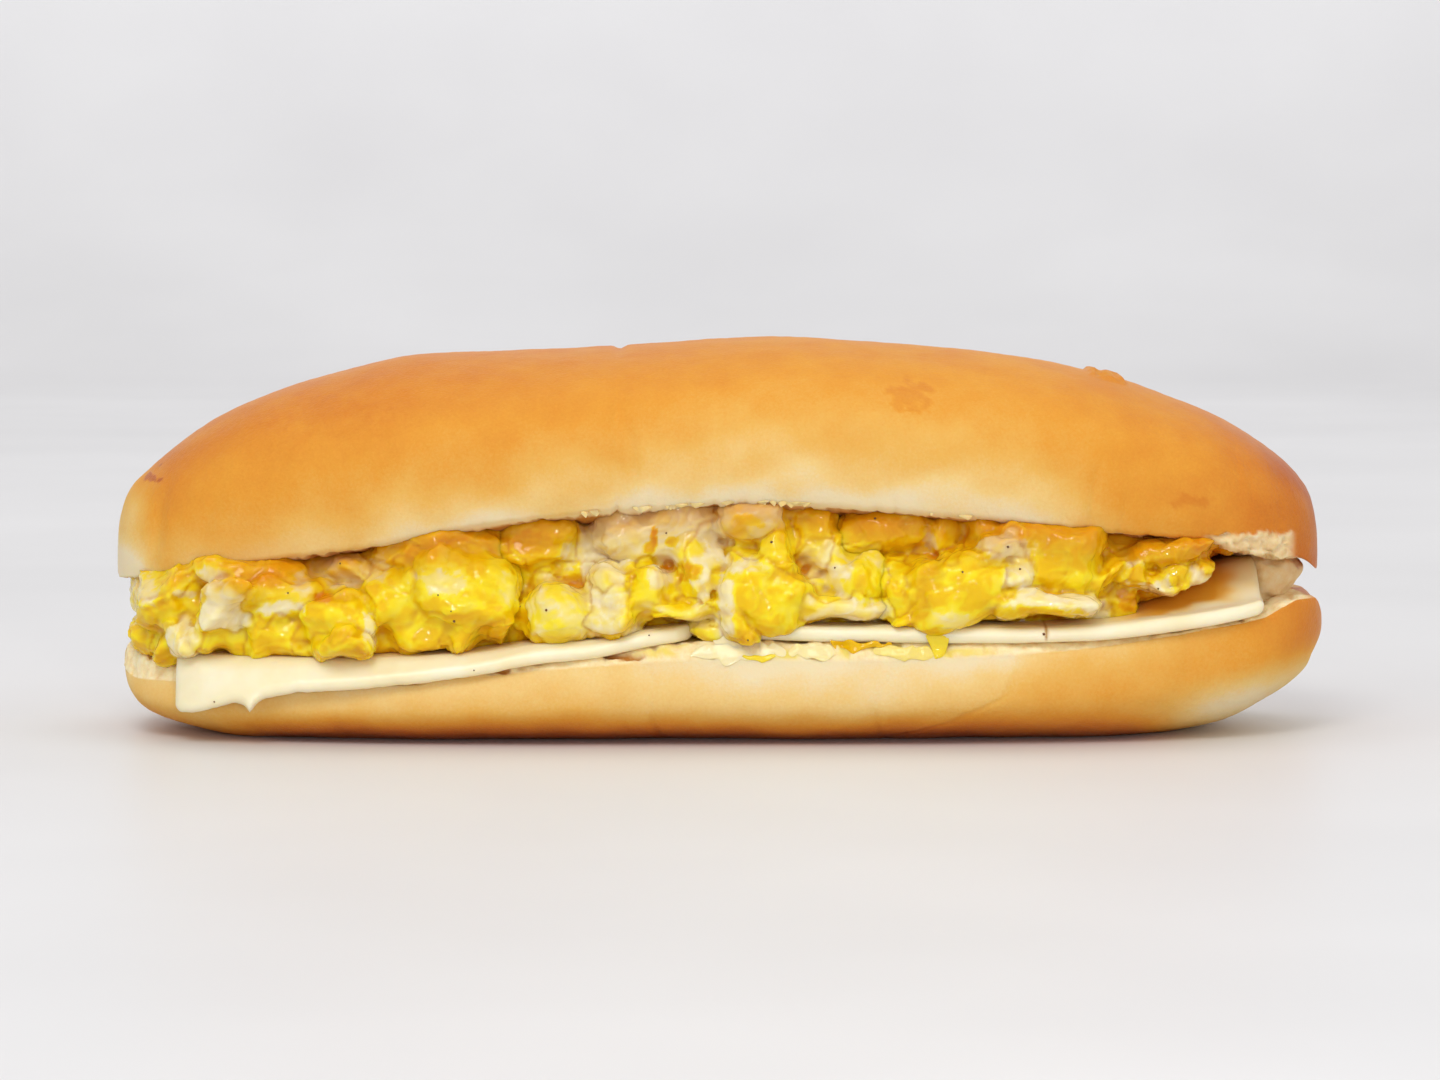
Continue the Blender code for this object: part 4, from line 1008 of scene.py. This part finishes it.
def egg_core(first, last):
    """Plain body of egg behind the curds: rounded boxes along x between both cut faces."""
    x = stations(first, last, CORE_GRID[0])[:, None]
    width = plan(x)
    front, back = -CORE_FRONT * width, BOTTOM_WIDTH * width - HINGE_DEPTH + 1.0
    turn = full_turn(CORE_GRID[1])
    across, upright = blunt(np.cos(turn), 0.4), blunt(np.sin(turn), 0.4)
    ends = np.minimum(3.0 * plan(x, [(first, 0), (last, 0)]), 1.0)
    y = 0.5 * (front + back) + 0.5 * (back - front) * across * ends
    low = bottom_face(x, y) - 0.8
    depth = (TOP_FRONT_WIDTH + TOP_BACK_WIDTH) * plan(x, CROWN)
    slope = (along(TOP_LIP, x) - along(TOP_HINGE, x)) / depth
    high = along(TOP_HINGE, x) + slope * (TOP_BACK_WIDTH * plan(x, CROWN) - y) + 2.4
    z = 0.5 * (low + high) + 0.5 * (high - low) * upright * ends
    points = grid_of(x, y, z)
    normal = ring_normals(points)
    return points + normal * (1.6 * curd_folds(points, 71) * ends)[..., None]


def fused(grids):
    """One skin round several closed grids, in millimetres: a voxel remesh, then a light smoothing."""
    vertices, quads, triangles = joined(grids)
    loose = mesh_object("loose_shapes", vertices, quads.tolist() + triangles.tolist())
    skin = loose.modifiers.new("skin", "REMESH")
    skin.mode = "VOXEL"
    skin.voxel_size = EGG_VOXEL
    relax = loose.modifiers.new("relax", "SMOOTH")
    relax.iterations = 2
    relax.factor = 0.5
    result = loose.evaluated_get(bpy.context.evaluated_depsgraph_get()).to_mesh()
    points, normals = read_points(result)
    corners = np.empty(len(result.loops), dtype=np.int32)
    result.loops.foreach_get("vertex_index", corners)
    loose.to_mesh_clear()
    bpy.data.meshes.remove(loose.data)
    return points, normals, corners.reshape(-1, 4)


def egg_heap(chosen, waves, first, last):
    """One stretch of the heap: core and curds fused, then fine folds, pressed between bread and cheese."""
    curds = [curd(CURDS[k], waves[k], k + 1) for k in chosen]
    points, normals, faces = fused([egg_core(first, last)] + curds)
    wrinkles = pillows(warp(points, 2.4, 1.0, 91), (2.2, 2.2, 1.3), 93) - 0.2
    pitted = noise(points, 0.85, 95)
    plates, rims = layers(points)
    share, seams = nearest_curds(warp(points, 4.0, 2.4, 83))
    relief = 0.3 * plates + 0.28 * wrinkles + 0.03 * pitted - SEAM_DEPTH * seams
    points = press(points + normals * relief[:, None])
    yolk, brown = marbled(points, share)
    yolk = np.clip(yolk - 0.15 * rims, 0.0, 1.0)
    # Painted shade: the egg darkens towards amber under the top lip, behind the heap's front, on faces
    # turned down, along seams, in creases, in the marbling's brown gaps, and a little on faces turned up.
    under_lip = step_down(along(TOP_LIP, points[:, 0]) - points[:, 2], 0.5, LIP_SHADE)
    under_lip = under_lip * (0.2 + 0.8 * step_up(points[:, 0], -88.0, -72.0))
    behind = step_up(recessed(points), 1.2, 6.0) * (1.0 - 0.7 * step_up(-points[:, 0], 80.0, 88.0))
    below = step_up(-normals[:, 2], 0.2, 0.9)
    above = step_up(normals[:, 2], 0.1, 0.7)
    creases = step_up(depth_in_folds(points, normals, faces), 0.06, 0.4)
    lit = (1.0 - 0.95 * behind) * (1.0 - 0.7 * under_lip) * (1.0 - 0.4 * below) * (1.0 - 0.35 * seams)
    lit = lit * (1.0 - 0.3 * creases) * (1.0 - 0.2 * above) * (1.0 - brown)
    values = {"yolk": yolk, "painted_shade": 1.0 - lit}
    return (points, faces, np.zeros((0, 3), dtype=int)), values


def front_lines(surface):
    """Least y of the points in each cell of an x and z grid, gaps bridged along z, lightly smoothed."""
    least = surface[:, [0, 2]].min(axis=0)
    cell = ((surface[:, [0, 2]] - least) / FILM_CELL).astype(int)
    front = np.zeros(cell.max(axis=0) + 1)
    np.minimum.at(front, (cell[:, 0], cell[:, 1]), surface[:, 1])
    rows = np.arange(front.shape[1])
    front = np.array([np.interp(rows, rows[line < 0.0], line[line < 0.0]) for line in front])
    for axis in (0, 1):
        front = 0.25 * np.roll(front, 1, axis=axis) + 0.5 * front + 0.25 * np.roll(front, -1, axis=axis)
    return front, least


def film(spec, front, least):
    """Flat cushion of egg, an oval from the front with a wavy rim, that follows what lies under it."""
    x, z, half_x, half_z, lean, thickness = spec[:6]
    across = stations(-1.0, 1.0, FILM_GRID[0])[:, None]
    sweep = full_turn(FILM_GRID[1])
    high = np.sqrt(1.0 - across ** 2)
    flat_x, flat_z = leaned(half_x * across * np.ones_like(sweep), half_z * high * np.cos(sweep), -lean)
    spots = warp(grid_of(x + flat_x, 0.0, z + flat_z), 2.6, 1.3, 111)
    place = (spots[..., [0, 2]] - least) / FILM_CELL - 0.5
    whole = np.clip(np.floor(place).astype(int), 0, np.array(front.shape) - 2)
    column, row = whole[..., 0], whole[..., 1]
    part_x, part_z = place[..., 0] - column, place[..., 1] - row
    low = front[column, row] * (1.0 - part_x) + front[column + 1, row] * part_x
    top = front[column, row + 1] * (1.0 - part_x) + front[column + 1, row + 1] * part_x
    out = thickness * high * np.sin(sweep)
    spots[..., 1] = low * (1.0 - part_z) + top * part_z - np.maximum(out, 0.5 * out)
    return spots


# Pepper.

def surface_points(names):
    """Vertices and normals of built pieces, in millimetres over the measuring line."""
    if any(name not in bpy.data.objects for name in names):
        raise RuntimeError("These pieces are built first: %s" % ", ".join(names))
    found = []
    for name in names:
        points, normals = read_points(bpy.data.objects[name].data)
        found.append(np.hstack([points / MM - [0.0, 0.0, MEASURED_FROM], normals]))
    return np.vstack(found)


def pepper_grain(place, size, turn):
    """Small angular grain: an oval of 4 rings of 6 points, pressed a little into what it lies on."""
    sweep = full_turn(6) + turn
    rings = np.linspace(0.0, math.pi, 5)[:, None]
    bumps = 1.0 + 0.2 * np.cos(3.0 * sweep + 5.0 * rings)
    return place + size * ball(4, sweep) * [1.0, 0.7, 1.0] * bumps[..., None]


def strewn_pepper(surface, more, rng):
    """Grains on the front-most point under each set place, and some more on points that face the front."""
    seen_x, seen_z = as_seen(surface)
    places = []
    for x, z in PEPPER:
        near = np.flatnonzero(np.hypot(seen_x - x, seen_z - z) < PEPPER_REACH)
        if len(near):
            places.append(surface[near[np.argmin(surface[near, 1])]])
    facing = np.flatnonzero((surface[:, 4] < PEPPER_FACING) & (surface[:, 1] < PEPPER_FRONT))
    places += [surface[k] for k in rng.choice(facing, more, replace=False)]
    return joined([
        pepper_grain(place[:3], rng.uniform(*PEPPER_SIZE), rng.uniform(0.0, 3.0)) for place in places
    ])


# Materials.

def linear(text):
    """Linear red, green, blue and full alpha from an sRGB hex value."""
    channels = [int(text[k:k + 2], 16) / 255.0 for k in (0, 2, 4)]
    return [c / 12.92 if c <= 0.04045 else ((c + 0.055) / 1.055) ** 2.4 for c in channels] + [1.0]


def add(tree, kind, values=None):
    """Node with its properties set, and its inputs linked to a socket or set to a plain value."""
    node = tree.nodes.new(kind)
    for key, value in (values or {}).items():
        if isinstance(value, bpy.types.NodeSocket):
            tree.links.new(value, node.inputs[key])
        elif isinstance(key, str) and hasattr(node, key):
            setattr(node, key, value)
        else:
            node.inputs[key].default_value = value
    return node


def ramp(tree, factor, stops):
    """Colour ramp through (position, hex) stops."""
    node = add(tree, "ShaderNodeValToRGB", {"Fac": factor})
    band = node.color_ramp
    band.elements[0].position, band.elements[0].color = stops[0][0], linear(stops[0][1])
    band.elements[1].position, band.elements[1].color = stops[-1][0], linear(stops[-1][1])
    for position, text in stops[1:-1]:
        band.elements.new(position).color = linear(text)
    return node.outputs["Color"]


def new_material(name):
    """New material with its tree and the socket of the place on the object."""
    made = bpy.data.materials.new(name)
    made.use_nodes = True
    made.node_tree.nodes.clear()
    place = add(made.node_tree, "ShaderNodeTexCoord").outputs["Object"]
    return made, made.node_tree, place


def dressed(made, tree, values):
    """The material, once its shader has these values and is its surface."""
    shader = add(tree, "ShaderNodeBsdfPrincipled", values)
    add(tree, "ShaderNodeOutputMaterial", {"Surface": shader.outputs["BSDF"]})
    return made


def glow(weight, red, green, blue):
    """Shader values for light that goes in and comes out again, by how many mm of each colour."""
    radius = (red * MM, green * MM, blue * MM)
    return {"Subsurface Weight": weight, "Subsurface Radius": radius, "Subsurface Scale": 1.0}


def own_value(tree, name):
    """Socket that reads one of the piece's own values."""
    return add(tree, "ShaderNodeAttribute", {"attribute_name": name}).outputs["Fac"]


def grain(tree, place, size_mm, detail=2.0, rough=0.5):
    """Noise from 0 to 1 whose features are about size_mm across."""
    values = {"Vector": place, "Scale": 1.0 / (size_mm * MM), "Detail": detail, "Roughness": rough}
    return add(tree, "ShaderNodeTexNoise", values).outputs["Fac"]


def bumped(tree, height, strength, reach_mm):
    """Normals of a surface with small bumps of the given height."""
    values = {"Height": height, "Strength": strength, "Distance": reach_mm * MM}
    return add(tree, "ShaderNodeBump", values).outputs["Normal"]


def blend_colours(tree, factor, first, second):
    """Mix of two colours by a factor, any of them a socket or a plain value."""
    values = {"data_type": "RGBA", 0: factor, 6: first, 7: second}
    return add(tree, "ShaderNodeMix", values).outputs[2]


def math_node(tree, operation, first, second):
    """One sum, product or other operation on two values, any of them a socket or a number."""
    return add(tree, "ShaderNodeMath", {"operation": operation, 0: first, 1: second}).outputs[0]


def share_between(tree, value, low, high):
    """0 where the value is low, 1 where it is high, even in between."""
    values = {"Value": value, "From Min": low, "From Max": high}
    return add(tree, "ShaderNodeMapRange", values).outputs["Result"]


def shifted(tree, value, pattern, amount):
    """Value moved up and down by a pattern from 0 to 1, by half the amount each way."""
    swing = math_node(tree, "MULTIPLY", math_node(tree, "SUBTRACT", pattern, 0.5), amount)
    return math_node(tree, "ADD", value, swing)


def baked_bread(settings):
    """Glazed wheat crust over pale crumb: satin, from straw at the cut to chestnut at the ends."""
    made, tree, place = new_material("baked_milk_bread")
    bake, crumb, deep, soaked = (own_value(tree, name) for name in ("bake", "crumb", "deep", "soaked"))
    tone = shifted(tree, bake, grain(tree, place, 7.0, 3.0), 0.22)
    tone = shifted(tree, tone, grain(tree, place, 0.5, 4.0, 0.7), 0.2)
    crust = ramp(tree, tone, [
        (0.0, "E8D7B0"), (0.2, "E8C782"), (0.4, "E2B058"), (0.6, "DD9836"), (0.8, "D07E29"), (1.0, "B65E1E"),
    ])
    pores = grain(tree, place, 1.6, 4.0, 0.6)
    inside = ramp(tree, pores, [(0.3, "EDCF98"), (0.5, "F5E0AE"), (0.7, "F8EBC4")])
    # Painted shade: crumb marked deep turns brown where the slot lies in shade.
    inside = blend_colours(tree, deep, inside, linear("BC7C36"))
    inside = blend_colours(tree, soaked, inside, linear("ECD46C"))
    colour = blend_colours(tree, crumb, crust, inside)
    browned = share_between(tree, bake, 0.62, 0.85)
    wrinkles = grain(tree, place, 0.55, 3.0, 0.6)
    wrinkles = math_node(tree, "MULTIPLY", wrinkles, math_node(tree, "ADD", browned, 1.0))
    gloss = math_node(tree, "SUBTRACT", settings.roughness, math_node(tree, "MULTIPLY", browned, 0.16))
    gloss = math_node(tree, "ADD", gloss, math_node(tree, "MULTIPLY", crumb, 0.35))
    return dressed(made, tree, {
        "Base Color": colour, "Roughness": gloss, "Normal": bumped(tree, wrinkles, 0.6, 0.15),
        "IOR": 1.2, **glow(0.3, 2.4, 1.2, 0.5),
    })


def sliced_cheese(settings):
    """Young pressed cheese, softened by warmth: creamy, waxy gloss, light goes a few millimetres in."""
    made, tree, place = new_material("young_white_cheese")
    cloud = grain(tree, place, 9.0, 3.0)
    own_cream = ramp(tree, cloud, [(0.3, "F1E2B8"), (0.55, "F7EAC8"), (0.75, "F9F0D4")])
    # Painted shade: the upper face blends into amber where the egg shades it.
    painted_amber_shade = own_value(tree, "painted_amber_shade")
    colour = ramp(tree, painted_amber_shade, [(0.5, "F4D070"), (1.0, "E6A632")])
    colour = blend_colours(tree, painted_amber_shade, own_cream, colour)
    colour = blend_colours(tree, own_value(tree, "mark"), colour, linear("B08230"))
    dimples = bumped(tree, grain(tree, place, 1.8), 0.2, 0.2)
    return dressed(made, tree, {
        "Base Color": colour, "Roughness": settings.roughness, "Normal": dimples, "IOR": 1.45,
        "Coat Weight": 0.25, "Coat Roughness": 0.18, **glow(0.5, 4.0, 2.8, 1.4),
    })


def cooked_egg(settings, name, reach):
    """Folded scrambled egg: moist, from milky white through lemon to deep yolk, light goes `reach` mm in."""
    made, tree, place = new_material(name)
    painted_shade = own_value(tree, "painted_shade")
    share = shifted(tree, own_value(tree, "yolk"), grain(tree, place, 2.6, 4.0, 0.6), 0.16)
    front = ramp(tree, share, [
        (0.0, "F0E6C0"), (0.22, "EFDF8C"), (0.45, "F2E040"), (0.75, "F2DC1A"), (1.0, "EDC60A"),
    ])
    # Painted shade: the shade value blends the colours into darker amber ones, and its deepest part towards
    # orange.
    behind = ramp(tree, share, [(0.0, "CCA85C"), (0.4, "D2981A"), (1.0, "D28E04")])
    colour = blend_colours(tree, painted_shade, front, behind)
    colour = blend_colours(tree, math_node(tree, "POWER", painted_shade, 4.0), colour, linear("DC8210"))
    wavy = bumped(tree, grain(tree, place, 1.7, 1.0, 0.4), 1.0, 0.25)
    return dressed(made, tree, {
        "Base Color": colour, "Roughness": settings.roughness, "Normal": wavy, "IOR": 1.35,
        **glow(1.0, reach, 0.94 * reach, 0.4 * reach),
    })


def ground_pepper():
    """Coarse black pepper: dull dark brown grains that catch no light."""
    made, tree, place = new_material("ground_black_pepper")
    colour = ramp(tree, grain(tree, place, 0.3), [(0.35, "4A2E14"), (0.7, "85592A")])
    return dressed(made, tree, {"Base Color": colour, "Roughness": 0.7})


def painted_board():
    """Smooth pale stage board with a faint cloudiness and a weak sheen."""
    made, tree, place = new_material("pale_stage_board")
    cloud = grain(tree, place, 180.0, 3.0)
    board = ramp(tree, cloud, [(0.3, "D8D7D8"), (0.7, "E1E0E1")])
    wall = ramp(tree, cloud, [(0.3, "EAE9EC"), (0.7, "F0F0F2")])
    height = add(tree, "ShaderNodeSeparateXYZ", {"Vector": place}).outputs["Z"]
    colour = blend_colours(tree, share_between(tree, height, 0.0, 0.3), board, wall)
    return dressed(made, tree, {"Base Color": colour, "Roughness": 0.45, "IOR": 1.45})


# Settings.

def roughness_setting(name, description, default):
    """Roughness of one material, from 0 to 1."""
    return bpy.props.FloatProperty(
        name=name, description=description, default=default, min=0.0, max=1.0, subtype="FACTOR",
    )


class RollSettings(bpy.types.PropertyGroup):
    """What a user may change on the bread."""

    roughness: roughness_setting("Crust roughness", "Roughness of the glazed crust", 0.52)


class CheeseSettings(bpy.types.PropertyGroup):
    """What a user may change on the slices."""

    roughness: roughness_setting("Cheese roughness", "Roughness of the waxy surface", 0.38)


class EggSettings(bpy.types.PropertyGroup):
    """What a user may change on the egg."""

    roughness: roughness_setting("Egg roughness", "Roughness of the moist surface", 0.09)


class PepperSettings(bpy.types.PropertyGroup):
    """What a user may change on the pepper."""

    strewn: bpy.props.IntProperty(
        name="Strewn grains", description="Grains besides the ones at set places",
        default=PEPPER_MORE, min=0,
    )


class StageSettings(bpy.types.PropertyGroup):
    """What a user may change on the light."""

    key_power: bpy.props.FloatProperty(
        name="Key power", description="Power of the large soft light over the front", default=4.0, min=0.0,
        unit="POWER",
    )
    ambient: bpy.props.FloatProperty(
        name="Ambient light", description="Strength of the even white surroundings", default=0.7, min=0.0,
    )


class SANDWICH_OT_roll(bpy.types.Operator):
    """Build both halves of the roll and the uncut bread between them"""

    bl_idname = "sandwich.roll"
    bl_label = "Roll"

    def execute(self, context):
        bread = baked_bread(context.scene.sandwich_roll)
        grid_piece("roll_top_half", *top_half(), bread, ["roll"], "bread")
        grid_piece("roll_bottom_half", *bottom_half(), bread, ["roll"], "bread")
        grid_piece("roll_hinge", *hinge_web(), bread, ["roll"], "bread")
        rng = np.random.default_rng(SHRED_SEED)
        shape = joined([
            shred(x, rng.uniform(0.5, 1.3), rng.uniform(0.9, 2.6), rng.uniform(-0.9, 0.9))
            for count, first, last in SHREDS for x in rng.uniform(first, last, count)
        ])
        whole, none = np.ones(len(shape[0])), np.zeros(len(shape[0]))
        values = {"bake": 0.17 * whole, "crumb": none, "deep": none, "soaked": none}
        make_piece("roll_shreds", shape, bread, ["roll"], values)
        return {"FINISHED"}


class SANDWICH_OT_cheese(bpy.types.Operator):
    """Build both cheese slices"""

    bl_idname = "sandwich.cheese"
    bl_label = "Cheese slices"

    def execute(self, context):
        cheese = sliced_cheese(context.scene.sandwich_cheese)
        for node, (ends, droop) in SLICES.items():
            name = node.replace("cheese_slice", "soft_slice")
            grid_piece(name, *cheese_slice(ends, droop), cheese, [node], "cheese")
        return {"FINISHED"}


class SANDWICH_OT_egg(bpy.types.Operator):
    """Build the heap of scrambled egg and the thin egg on the edge, once roll and slices are built"""

    bl_idname = "sandwich.egg"
    bl_label = "Scrambled egg"

    def execute(self, context):
        surface = surface_points(["roll_bottom_half", "soft_slice_left", "soft_slice_right"])
        settings = context.scene.sandwich_egg
        egg = cooked_egg(settings, "scrambled_egg_curd", CURD_GLOW)
        rng = np.random.default_rng(CURD_SEED)
        waves = [rng.normal(0.0, 2.4, (3, 4)) for _ in CURDS]
        for part, (first, last) in enumerate(EGG_STRETCHES):
            core = max(first, CORE_ENDS[0]), min(last, CORE_ENDS[1])
            chosen = [k for k, spec in enumerate(CURDS) if first + 1.0 <= spec[0] < last - 1.0]
            shape, values = egg_heap(chosen, waves, *core)
            make_piece("egg_heap_%d" % (part + 1), shape, egg, ["egg_filling"], values)
        front, least = front_lines(surface[surface[:, 1] < FILM_FRONT])
        shape = joined([film(spec, front, least) for spec in FILMS])
        yolk = np.repeat([spec[6] for spec in FILMS], len(shape[0]) // len(FILMS))
        # Painted shade: yolky films get a little of the shaded amber colour.
        values = {"yolk": yolk, "painted_shade": 0.25 * yolk}
        thin_egg = cooked_egg(settings, "thin_run_over_egg", FILM_GLOW)
        make_piece("egg_films", shape, thin_egg, ["egg_filling"], values)
        return {"FINISHED"}


class SANDWICH_OT_pepper(bpy.types.Operator):
    """Strew ground pepper over the egg and the cheese, once both are built"""

    bl_idname = "sandwich.pepper"
    bl_label = "Pepper"

    def execute(self, context):
        names = ["egg_heap_1", "egg_heap_2", "egg_heap_3", "soft_slice_left", "soft_slice_right"]
        more = context.scene.sandwich_pepper.strewn
        shape = strewn_pepper(surface_points(names), more, np.random.default_rng(PEPPER_SEED))
        make_piece("pepper_grains", shape, ground_pepper(), ["egg_filling"])
        return {"FINISHED"}


class SANDWICH_OT_stage(bpy.types.Operator):
    """Build the pale sweep, the soft lights and the camera"""

    bl_idname = "sandwich.stage"
    bl_label = "Stage"

    def execute(self, context):
        settings = context.scene.sandwich_stage
        build_sweep(painted_board())
        build_lights(settings)
        build_camera()
        return {"FINISHED"}


def build_sweep(material):
    """Floor that turns up into a backdrop: a straight run, a quarter circle and a wall, as one profile."""
    radius, depth, height, half_width = 0.5, 1.1, 1.6, 2.6
    turn = np.linspace(0.0, 0.5 * math.pi, 24)
    y = np.concatenate([[-1.8], depth + radius * np.sin(turn), [depth + radius]])
    z = np.concatenate([[0.0], radius * (1.0 - np.cos(turn)), [height]])
    left = grid_of(-half_width, y, z)
    right = left * [-1.0, 1.0, 1.0]
    index = np.arange(len(y))
    faces = np.stack([index[:-1], index[:-1] + len(y), index[1:] + len(y), index[1:]], axis=-1)
    sweep = mesh_object("stage_sweep", np.vstack([left, right]), faces.tolist(), material)


def add_area_light(name, place, aim, size, power, colour):
    """Square area light at a place, turned to its aim."""
    lamp = bpy.data.lights.new(name, "AREA")
    lamp.size = size
    lamp.energy = power
    lamp.color = colour
    made = linked(name, lamp)
    made.location = place
    made.rotation_euler = (Vector(aim) - Vector(place)).to_track_quat("-Z", "Y").to_euler()


def build_lights(settings):
    """Large soft light over the front, weaker ones at the right and in front, one on the wall, white sky."""
    food, wall = (0.0, 0.0, 0.03), (0.0, 1.6, 0.5)
    for name, place, aim, size, share, colour in (
        ("key_light", (-0.16, -0.76, 0.8), food, 0.42, 1.0, (1.0, 0.985, 0.96)),
        ("side_light", (0.9, -0.5, 0.45), food, 0.5, 0.2, (1.0, 1.0, 1.0)),
        ("front_light", (0.12, -0.95, 0.18), food, 0.05, 0.26, (1.0, 0.99, 0.97)),
        ("wall_light", (0.0, 0.5, 1.5), wall, 1.2, 1.96, (1.0, 1.0, 1.0)),
    ):
        add_area_light(name, place, aim, size, share * settings.key_power, colour)
    world = bpy.data.worlds.new("white_surroundings")
    world.use_nodes = True
    sky = world.node_tree.nodes["Background"]
    sky.inputs["Color"].default_value = (1.0, 1.0, 1.0, 1.0)
    sky.inputs["Strength"].default_value = settings.ambient
    bpy.context.scene.world = world


def build_camera():
    """Camera in front of the slot, a few degrees over the table."""
    rise = math.radians(CAMERA_RISE)
    lens = bpy.data.cameras.new("photo_camera")
    lens.lens = LENS_MM
    lens.sensor_width = SENSOR_MM
    lens.clip_start = 0.05
    camera = linked("photo_camera", lens)
    out, up = math.cos(rise) * CAMERA_DISTANCE, math.sin(rise) * CAMERA_DISTANCE
    camera.location = (0.0, -out, AIM_HEIGHT + up)
    camera.rotation_euler = (0.5 * math.pi - rise, 0.0, 0.0)
    bpy.context.scene.camera = camera
    bpy.context.scene.view_settings.view_transform = "Standard"
    bpy.context.scene.cycles.diffuse_bounces = 8


class SANDWICH_PT_panel(bpy.types.Panel):
    """Lists the sandwich's settings and its operators"""

    bl_idname = "SANDWICH_PT_panel"
    bl_label = "Breakfast sandwich"
    bl_space_type = "VIEW_3D"
    bl_region_type = "UI"
    bl_category = "Sandwich"

    def draw(self, context):
        for group in SETTINGS:
            box = self.layout.box()
            for name in getattr(context.scene, group).__annotations__:
                box.prop(getattr(context.scene, group), name)
            box.operator(group.replace("_", "."))


SETTINGS = {
    "sandwich_roll": RollSettings,
    "sandwich_cheese": CheeseSettings,
    "sandwich_egg": EggSettings,
    "sandwich_pepper": PepperSettings,
    "sandwich_stage": StageSettings,
}
CLASSES = list(SETTINGS.values()) + [
    SANDWICH_OT_roll, SANDWICH_OT_cheese, SANDWICH_OT_egg, SANDWICH_OT_pepper, SANDWICH_OT_stage,
    SANDWICH_PT_panel,
]


def register():
    """Make the classes and the settings known to Blender."""
    for item in CLASSES:
        bpy.utils.register_class(item)
    for name, kind in SETTINGS.items():
        setattr(bpy.types.Scene, name, bpy.props.PointerProperty(type=kind))


def unregister():
    """Take the settings and the classes away again."""
    for name in SETTINGS:
        delattr(bpy.types.Scene, name)
    for item in reversed(CLASSES):
        bpy.utils.unregister_class(item)


def main():
    """Build every piece and the stage."""
    register()
    bpy.ops.sandwich.roll()
    bpy.ops.sandwich.cheese()
    bpy.ops.sandwich.egg()
    bpy.ops.sandwich.pepper()
    bpy.ops.sandwich.stage()


if __name__ == "__main__":
    main()
